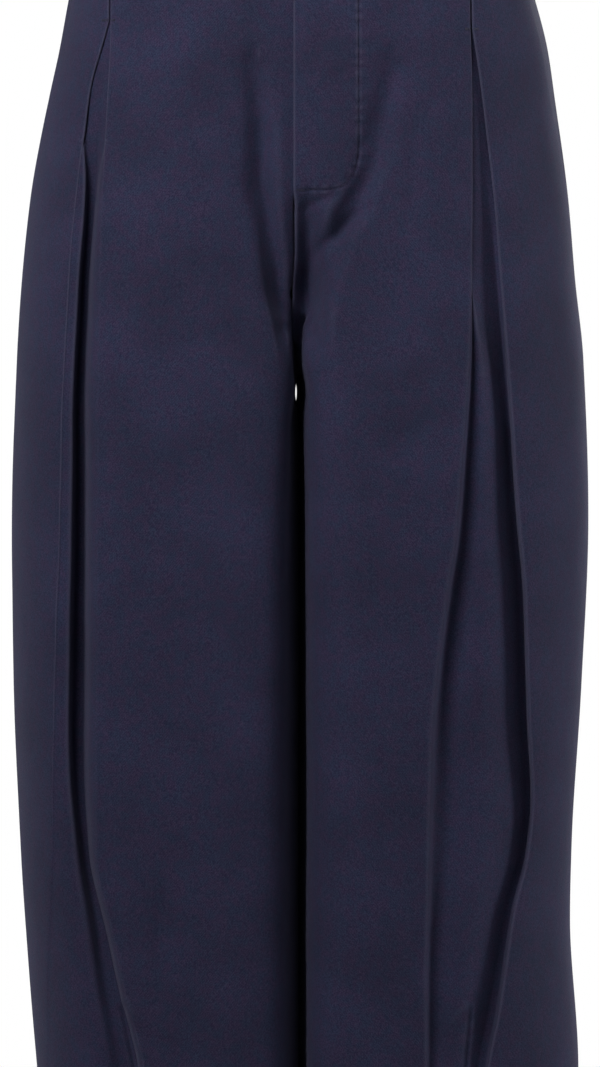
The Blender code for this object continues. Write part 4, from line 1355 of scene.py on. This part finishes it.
class TrousersStage(PropertyGroup):
    """Floor, lights and camera."""

    floor_drop: FloatProperty(
        name="Floor drop", description="From the hem to the floor", default=0.075, unit="LENGTH"
    )
    floor_size: FloatProperty(
        name="Floor size", description="Side of the floor", default=3.2, unit="LENGTH"
    )
    floor_colour: FloatVectorProperty(
        name="Floor colour",
        description="The floor's pale colour",
        default=(0.82, 0.82, 0.83),
        subtype="COLOR",
        size=3,
    )
    floor_glow: FloatProperty(
        name="Floor glow", description="Keeps the floor pale away from the lights", default=0.5
    )
    sky: FloatProperty(
        name="Surroundings", description="Light that the white room gives back", default=0.07
    )
    key: FloatProperty(
        name="Key light", description="Power of the softbox on the left", default=6.1, unit="POWER"
    )
    fill: FloatProperty(
        name="Fill light", description="Power of the small box in front", default=1.8, unit="POWER"
    )
    side: FloatProperty(
        name="Side light", description="Power of the box on the right", default=3.8, unit="POWER"
    )
    back: FloatProperty(
        name="Back light", description="Power of the box behind", default=9.0, unit="POWER"
    )
    rim: FloatProperty(
        name="Rim lights", description="Power of each light behind", default=4.0, unit="POWER"
    )
    box_spread: FloatProperty(
        name="Box spread",
        description="Angle over which the narrowed boxes give light",
        default=1.28,
        subtype="ANGLE",
    )
    distance: FloatProperty(
        name="Camera distance", description="From the camera to the waist", default=14.0, unit="LENGTH"
    )
    view_height: FloatProperty(
        name="View height", description="Height of the view at the waist", default=0.6402, unit="LENGTH"
    )


class TROUSERS_OT_fronts(Operator):
    """Make the two pleated fronts"""

    bl_idname = "trousers.fronts"
    bl_label = "Fronts"

    def execute(self, context):
        for side in ("right", "left"):
            make_panel(side, "front")
        return {"FINISHED"}


class TROUSERS_OT_backs(Operator):
    """Make the two backs"""

    bl_idname = "trousers.backs"
    bl_label = "Backs"

    def execute(self, context):
        for side in ("right", "left"):
            make_panel(side, "back")
        return {"FINISHED"}


def facing_points(side):
    """The pocket facing: under the front panel's edge, then out to the side seam."""
    closes = MOUTH_COLUMNS.index(side)
    last = next(row[0] for row in MOUTH if row[closes] == 0)
    levels = np.linspace(FACING_TOP, last, FACING_ROWS)
    sections, lines = [], []
    for down in levels:
        section = base_curve(side, "front", down)
        length = section[1][-1]
        open_width = mouth(side, down)
        start = length - open_width - FACING_TUCK
        end = length - 2 * SEAM_GAP
        inner = np.linspace(start, end - FACING_EDGE, FACING_COLUMNS[0])[:-1]
        along = np.concatenate([inner, np.linspace(end - FACING_EDGE, end, FACING_COLUMNS[1])])
        shown = ((along - start - FACING_TUCK) / max(open_width, SEAM_GAP)).clip(0, 1)
        level = ease(open_width, 0.0, FACING_LEVEL)
        sunk = FACING_DROP * (1 - level * shown * shown)
        sunk += FACING_EDGE_DROP * ((along - end + FACING_EDGE) / FACING_EDGE).clip(0, 1) ** 3
        lines.append(np.stack([along, sunk], 1))
        sections.append(section)
    return spread("pocket_facing_" + side, side, "front", levels, lines, sections)


def fly_width(down):
    """Width of the fly facing: straight, then round its lower corner."""
    t = min(max((down - FLY_BOTTOM + FLY_CORNER) / FLY_CORNER, 0.0), 1.0)
    return FLY_FOOT + (FLY_WIDTH - FLY_FOOT) * math.sqrt(1 - t * t)


def fly_points():
    """The fly facing: the left front's own form, sunk under it and cut to the J shape."""
    corner = FLY_BOTTOM - FLY_CORNER
    straight = np.linspace(FACING_TOP, corner, FLY_ROWS[0])[:-1]
    rounded = corner + FLY_CORNER * np.sin(np.linspace(0, math.pi / 2, FLY_ROWS[1]))
    levels = np.concatenate([straight, rounded])
    sections = [base_curve("left", "front", down) for down in levels]
    sunk = np.full(FLY_COLUMNS, CLOTH / 2 + 2 * SEAM_GAP + FACING_CLOTH / 2)
    lines = []
    for down in levels:
        lines.append(np.stack([np.linspace(FLY_INSET, fly_width(down), FLY_COLUMNS), sunk], 1))
    return spread("fly_facing", "left", "front", levels, lines, sections)


class TROUSERS_OT_facings(Operator):
    """Make the pocket facings and the fly facing"""

    bl_idname = "trousers.facings"
    bl_label = "Facings"

    def execute(self, context):
        cloth = context.scene.trousers_cloth
        faces = [twill("navy_twill_facing", cloth, 0.92)] * 2
        for side in ("right", "left"):
            name = "pocket_facing_" + side
            piece = grid_cloth(name + "_cloth", facing_points(side), side == "left", FACING_CLOTH, faces)
            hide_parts(name)
            dress(piece)
        piece = grid_cloth("fly_facing_cloth", fly_points(), True, FACING_CLOTH, faces)
        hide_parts("fly_facing")
        dress(piece)
        return {"FINISHED"}


def band_points():
    """The waistband from its left end all round to the end of its underlap, level by level."""
    rows = []
    for down in np.linspace(*BAND_LEVELS, BAND_ROWS):
        runs = []
        for side, half, backwards in BAND_RUNS:
            section = base_curve(side, half, down)
            along = np.linspace(0, section[1][-1], BAND_COLUMNS)
            sunk = np.zeros(BAND_COLUMNS)
            if (side, half) == ("right", "front"):
                sunk = UNDERLAP_DROP * (1 - ease(along, SEAM_GAP, UNDERLAP_RUN))
            points = band_level(side, half, down, along, sunk, section)
            points = points[::-1] if backwards else points
            runs.append(points[1:] if runs else points)
        along = np.linspace(0, UNDERLAP, UNDERLAP_COLUMNS + 1)[1:]
        sunk = np.full(UNDERLAP_COLUMNS, UNDERLAP_DROP)
        runs.append(band_level("left", "front", down, along, sunk, base_curve("left", "front", down)))
        rows.append(np.concatenate(runs))
    return np.array(rows)


def band_level(side, half, down, along, sunk, section):
    """One stretch of the waistband at one level."""
    line = np.stack([along, sunk], 1)
    return spread("waistband", side, half, [down], [line], [section])[0]


class TROUSERS_OT_waistband(Operator):
    """Make the waistband with its rounded edges and underlap"""

    bl_idname = "trousers.waistband"
    bl_label = "Waistband"

    def execute(self, context):
        cloth = context.scene.trousers_cloth
        points = band_points()
        rows, columns = points.shape[:2]
        passed = np.linspace(0, BAND_LENGTH, columns)[None, :] + np.zeros((rows, 1))
        waves = unevenness("waistband", passed, -points[:, :, 2])
        outward = points * (1, 1, 0)
        outward /= np.linalg.norm(outward, axis=2)[:, :, None]
        points = points + outward * (BAND_UNEVEN * waves)[:, :, None]
        piece = grid_cloth("waistband_cloth", points, False, BAND_CLOTH, cloth_materials(cloth)[:1] * 2)
        round_edges(piece, "edges", BAND_ROUNDING, 50)
        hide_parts("waistband")
        dress(piece)
        return {"FINISHED"}


def tree_of(name):
    """The middle of a panel's cloth as a tree to find places on."""
    points = form[name]
    rows, columns = points.shape[:2]
    corners = [tuple(p) for p in points.reshape(-1, 3)]
    quads = [
        (r * columns + c, r * columns + c + 1, (r + 1) * columns + c + 1, (r + 1) * columns + c)
        for r in range(rows - 1)
        for c in range(columns - 1)
    ]
    return BVHTree.FromPolygons(corners, quads)


def front_place(tree, side, out, down):
    """The place in the middle of a front's cloth, seen straight on, with its outward direction."""
    shift = CENTRE_SHIFT if down < RISE_TURN["front"] else 0.0
    start = Vector((sign(side) * out + shift, -0.5, -down))
    hit, normal, _, _ = tree.ray_cast(start, Vector((0, 1, 0)))
    if hit is None:
        raise RuntimeError(f"no cloth at out {out:.4f}, down {down:.4f} on the {side} front")
    if normal.y > 0:
        normal = -normal
    return hit, normal


def walk(path, pitch):
    """Places along a path at an even pitch, each with what else the path's rows carry."""
    path = np.asarray(path, float)
    steps = np.linalg.norm(np.diff(path[:, :3], axis=0), axis=1)
    passed = running(steps)
    count = max(int(passed[-1] / pitch), 1)
    at = (np.arange(count) + 0.5) * passed[-1] / count
    return [[float(np.interp(x, passed, path[:, k])) for k in range(path.shape[1])] for x in at]


def stitch_model(length, thread):
    """One stitch: a small bead stretched along X, deleted once its shape is known."""
    deselect()
    bpy.ops.mesh.primitive_uv_sphere_add(segments=8, ring_count=6, radius=0.5, rotation=(0, math.pi / 2, 0))
    bead = bpy.context.object
    bpy.ops.object.transform_apply(location=False, rotation=True, scale=False)
    points = np.zeros(len(bead.data.vertices) * 3)
    bead.data.vertices.foreach_get("co", points)
    faces = [tuple(face.vertices) for face in bead.data.polygons]
    bpy.data.objects.remove(bead, do_unlink=True)
    points = points.reshape(-1, 3)
    points[:, 0] = np.sign(points[:, 0]) * (np.abs(points[:, 0]) * 2) ** STITCH_BLUNTNESS / 2
    return points * (length, thread, thread * STITCH_FLATNESS), faces


def stitch_place(at, way, normal, proud):
    """The matrix that lays a stitch on the cloth."""
    normal = Vector(normal).normalized()
    way = Vector(way)
    way = (way - normal * way.dot(normal)).normalized()
    side = normal.cross(way)
    turn = Matrix((way, side, normal)).transposed().to_4x4()
    return Matrix.Translation(Vector(at) + normal * proud) @ turn


def sewn(name, model, places, material):
    """One mesh of many stitches, each laid by its own matrix."""
    points, faces = model
    corners = []
    for place_at in places:
        turn = np.array(place_at.to_3x3())
        corners.append(points @ turn.T + np.array(place_at.translation))
    count = len(points)
    all_faces = [tuple(v + k * count for v in face) for k in range(len(places)) for face in faces]
    mesh = bpy.data.meshes.new(name)
    mesh.from_pydata(np.concatenate(corners).tolist(), [], all_faces)
    mesh.shade_smooth()
    mesh.materials.append(material)
    piece = bpy.data.objects.new(name, mesh)
    bpy.context.scene.collection.objects.link(piece)
    return piece


def line_places(points, normals, proud):
    """Stitches along a line on the cloth with two points a stitch: each spans three of them."""
    places = []
    for k in range(1, len(points) - 1, 2):
        places.append(stitch_place(points[k], points[k + 1] - points[k - 1], normals[k], proud))
    return places


def front_line(tree, side, path, pitch):
    """Places and outward directions on a front at half the pitch along a path."""
    found = [front_place(tree, side, out, down) for out, down in walk(path, pitch / 2)]
    return [hit for hit, _ in found], [normal for _, normal in found]


def tack_places(tree, side, out, down, length, thread):
    """A bar tack: close upright stitches side by side along a short level line."""
    count = int(length / (thread * TACK_PITCH))
    places = []
    for k in range(count):
        across = out + (k / (count - 1) - 0.5) * length
        hit, normal = front_place(tree, side, across, down)
        places.append(stitch_place(hit, (0, 0, 1), normal, CLOTH / 2 + thread * SATIN_PROUD))
    return places


class TROUSERS_OT_sewing(Operator):
    """Sew the fly, the tacks, the hems and the buttonhole"""

    bl_idname = "trousers.sewing"
    bl_label = "Sewing"

    def execute(self, context):
        sewing = context.scene.trousers_sewing
        thread = sewing.thread
        proud = CLOTH / 2 + thread * STITCH_PROUD
        stitch = stitch_model(sewing.stitch_length, thread)
        bar = stitch_model(TACK_WIDTH, thread)
        material = thread_material("navy_thread", sewing.colour)
        trees = {side: tree_of("front_" + side) for side in ("right", "left")}

        places = line_places(*front_line(trees["left"], "left", fly_path(), sewing.stitch_pitch), proud)
        dress(sewn("fly_stitches", stitch, places, material))

        out, down = fly_path()[-1]
        tacks = tack_places(trees["left"], "left", out + FLY_TACK_SHIFT, down, FLY_TACK_LENGTH, thread)
        for side in ("right", "left"):
            tacks += tack_places(trees[side], side, *TACKS[side], TACK_LENGTH, thread)
        dress(sewn("bar_tacks", bar, tacks, material))

        hems = []
        for name in ("front_right", "front_left", "back_right", "back_left"):
            hems += hem_places(name, sewing.stitch_pitch, proud)
        dress(sewn("hem_stitches", stitch, hems, material))

        satin = stitch_model(HOLE_STITCH, thread)
        dress(sewn("buttonhole_stitches", satin, buttonhole_places(thread), material))
        return {"FINISHED"}


def hem_places(name, pitch, proud):
    """The hem's stitches on one panel, level round the leg."""
    points = form[name]
    column = len(ROLLED_EDGE) - 1
    outer = points[: np.argmin(points[:, column, 2])]
    row = int(np.argmin(np.abs(outer[:, column, 2] + HEM - HEM_STITCH)))
    line = outer[row, column - 1 : 1 - column]
    across = np.gradient(line, axis=0)
    normals = np.cross(across, (0, 0, -1.0))
    normals /= np.linalg.norm(normals, axis=1)[:, None]
    flip = np.sign(((line - line.mean(0)) * normals).sum(1).mean())
    both = walk(np.concatenate([line, normals * flip], 1), pitch / 2)
    return line_places([Vector(x[:3]) for x in both], [Vector(x[3:]) for x in both], proud)


def band_face(along, down):
    """A place on the left front of the waistband's outer face, the way along it and the way out."""
    line = np.array([along - FACE_STEP, along, along + FACE_STEP])
    level, above = (
        band_level("left", "front", z, line, np.zeros(3), base_curve("left", "front", z))
        for z in (down, down - FACE_STEP)
    )
    way = Vector(level[2] - level[0]).normalized()
    out = way.cross(Vector(above[1] - level[1])).normalized()
    return Vector(level[1]) + out * BAND_CLOTH / 2, way, out


def buttonhole_places(thread):
    """A worked buttonhole: satin stitches above and below a slit, and bars at its ends."""
    places = []
    start, end = HOLE_ENDS
    for along in np.arange(start, end, thread * SATIN_PITCH):
        for level in (-HOLE_HALF, HOLE_HALF):
            at, way, out = band_face(along, level)
            places.append(stitch_place(at, out.cross(way), out, thread * SATIN_PROUD))
    for along in (start - HOLE_BAR_GAP, end + HOLE_BAR_GAP):
        for level in np.arange(-HOLE_BAR_HALF, HOLE_BAR_HALF, thread * SATIN_PITCH):
            at, way, out = band_face(along, level)
            places.append(stitch_place(at, way, out, thread * BAR_PROUD))
    return places


class TROUSERS_OT_button(Operator):
    """Make the waist button with its four holes and thread"""

    bl_idname = "trousers.button"
    bl_label = "Button"

    def execute(self, context):
        button = context.scene.trousers_button
        sewing = context.scene.trousers_sewing
        at, way, out = band_face(BUTTON_PLACE, 0.0)
        up = out.cross(way)
        turn = Matrix((way, up, out)).transposed().to_4x4()
        whole = Matrix.Translation(at + out * 2 * SEAM_GAP) @ turn

        deselect()
        bpy.ops.mesh.primitive_cylinder_add(
            vertices=button.steps,
            radius=button.radius,
            depth=button.height,
            location=(0, 0, button.height / 2),
        )
        piece = bpy.context.object
        piece.name = "waist_button_horn"
        bpy.ops.object.transform_apply(location=True, rotation=True, scale=True)
        shape_button(piece, button)
        for k in range(4):
            drill(piece, button, k * math.pi / 2 + math.pi / 4)
        piece.data.transform(whole)
        piece.data.update()
        slots = {material["slot"]: material for material in frame["record"]["materials"]}
        piece.data.materials.clear()
        piece.data.materials.append(horn_material("navy_horn", slots["button"]["base_color"]))
        pick(piece)
        bpy.ops.object.shade_smooth_by_angle(angle=math.radians(35))
        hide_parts("waist_button")
        dress(piece)

        thread = sewing.thread
        bars = []
        reach = button.hole_place * math.sqrt(0.5)
        level = button.height - button.dish + thread * BAR_PROUD
        for row in (-1, 1):
            for k in (-1, 0, 1):
                crown = BUTTON_THREAD_CROWN * (1 - abs(k))
                local = Vector((0, row * reach + k * thread * TACK_PITCH, level + crown))
                bars.append(whole @ Matrix.Translation(local))
        model = stitch_model(2 * reach + BUTTON_THREAD_OVER, thread)
        dress(sewn("button_thread", model, bars, thread_material("button_thread", sewing.colour)))
        return {"FINISHED"}


def faces_where(mesh, test):
    """Selects the faces whose middle and normal pass a test, with the piece in edit mode."""
    bpy.ops.mesh.select_all(action="DESELECT")
    bpy.ops.object.mode_set(mode="OBJECT")
    for face in mesh.polygons:
        face.select = bool(test(face.center, face.normal))
    bpy.ops.object.mode_set(mode="EDIT")


def shape_button(piece, button):
    """Insets and sinks both faces of the button, then rounds its edges."""
    mesh = piece.data
    bpy.ops.object.mode_set(mode="EDIT")
    bpy.ops.mesh.select_mode(type="FACE")
    faces_where(mesh, lambda middle, normal: normal.z > 0.9)
    bpy.ops.mesh.inset(thickness=button.radius * BUTTON_RIM, depth=0)
    bpy.ops.mesh.inset(thickness=button.radius * BUTTON_SLOPE, depth=0)
    bpy.ops.transform.translate(value=(0, 0, -button.dish))
    faces_where(mesh, lambda middle, normal: normal.z < -0.9)
    bpy.ops.mesh.inset(thickness=button.radius * BUTTON_BACK_RIM, depth=0)
    bpy.ops.transform.translate(value=(0, 0, -BUTTON_BACK_DISH))
    bpy.ops.object.mode_set(mode="OBJECT")
    pick(piece)
    round_edges(piece, "rim", BUTTON_ROUNDING, 25)
    bpy.ops.object.modifier_apply(modifier="rim")


def drill(piece, button, turn):
    """Cuts one thread hole."""
    deselect()
    bpy.ops.mesh.primitive_cylinder_add(
        vertices=20,
        radius=button.hole,
        depth=button.height * 3,
        location=(
            button.hole_place * math.cos(turn),
            button.hole_place * math.sin(turn),
            button.height / 2,
        ),
    )
    cutter = bpy.context.object
    pick(piece)
    cut = piece.modifiers.new("hole", "BOOLEAN")
    cut.operation = "DIFFERENCE"
    cut.object = cutter
    bpy.ops.object.modifier_apply(modifier="hole")
    bpy.data.objects.remove(cutter, do_unlink=True)


def soft_light(name, power, size, at, target):
    """A rectangular box light at a place, turned to a target."""
    lamp = bpy.data.lights.new(name, "AREA")
    lamp.shape = "RECTANGLE"
    lamp.size, lamp.size_y = size
    lamp.energy = power
    piece = bpy.data.objects.new(name, lamp)
    piece.location = at
    piece.rotation_euler = (Vector(target) - Vector(at)).to_track_quat("-Z", "Y").to_euler()
    bpy.context.scene.collection.objects.link(piece)
    return lamp


class TROUSERS_OT_stage(Operator):
    """Make the floor, the lights and the camera"""

    bl_idname = "trousers.stage"
    bl_label = "Stage"

    def execute(self, context):
        stage = context.scene.trousers_stage
        scene = context.scene
        deselect()
        bpy.ops.mesh.primitive_plane_add(size=stage.floor_size, location=(0, 0, 0))
        floor = bpy.context.object
        floor.name = "stage_floor"
        floor.data.transform(Matrix.Translation((0, 0, -HEM - stage.floor_drop)))
        floor.data.materials.append(floor_material(stage.floor_colour, stage.floor_glow))

        world = bpy.data.worlds.new("studio")
        scene.world = world
        world.use_nodes = True
        tree = world.node_tree
        sky = tune(tree.nodes["Background"], Color=(1.0, 1.0, 1.0, 1.0))
        seen = add(tree, "ShaderNodeLightPath").outputs["Is Camera Ray"]
        tree.links.new(mapped(tree, seen, 0.0, 1.0, stage.sky, 1.0), sky.inputs["Strength"])
        for name, power, size, at, target, narrowed in LIGHTS:
            lamp = soft_light(name, getattr(stage, power), size, at, target)
            if narrowed:
                lamp.spread = stage.box_spread
        scene.view_settings.view_transform = "Standard"

        lens = bpy.data.cameras.new("camera")
        lens.sensor_width = 36.0
        lens.lens = lens.sensor_width * stage.distance / stage.view_height
        lens.clip_end = 50.0
        camera = bpy.data.objects.new("camera", lens)
        camera.location = (VIEW_CENTRE[0], -stage.distance, VIEW_CENTRE[1])
        camera.rotation_euler = (math.pi / 2, 0, 0)
        scene.collection.objects.link(camera)
        scene.camera = camera
        return {"FINISHED"}


class TROUSERS_PT_panel(Panel):
    """Lists the pieces of the trousers and what a user may change"""

    bl_idname = "TROUSERS_PT_panel"
    bl_label = "Pleated trousers"
    bl_space_type = "VIEW_3D"
    bl_region_type = "UI"
    bl_category = "Trousers"

    def draw(self, context):
        for operator in OPERATORS:
            self.layout.operator(operator.bl_idname)
        for name, group in GROUPS:
            box = self.layout.box()
            for key in group.__annotations__:
                box.prop(getattr(context.scene, name), key)


OPERATORS = (
    TROUSERS_OT_fronts,
    TROUSERS_OT_backs,
    TROUSERS_OT_facings,
    TROUSERS_OT_waistband,
    TROUSERS_OT_button,
    TROUSERS_OT_sewing,
    TROUSERS_OT_stage,
)
GROUPS = (
    ("trousers_cloth", TrousersCloth),
    ("trousers_sewing", TrousersSewing),
    ("trousers_button", TrousersButton),
    ("trousers_stage", TrousersStage),
)


def register():
    for name, group in GROUPS:
        bpy.utils.register_class(group)
        setattr(bpy.types.Scene, name, PointerProperty(type=group))
    for made in (*OPERATORS, TROUSERS_PT_panel):
        bpy.utils.register_class(made)


def unregister():
    for made in reversed((*OPERATORS, TROUSERS_PT_panel)):
        bpy.utils.unregister_class(made)
    for name, group in reversed(GROUPS):
        delattr(bpy.types.Scene, name)
        bpy.utils.unregister_class(group)


def main():
    register()
    bpy.ops.trousers.fronts()
    bpy.ops.trousers.backs()
    bpy.ops.trousers.facings()
    bpy.ops.trousers.waistband()
    bpy.ops.trousers.button()
    bpy.ops.trousers.sewing()
    bpy.ops.trousers.stage()


if __name__ == "__main__":
    main()
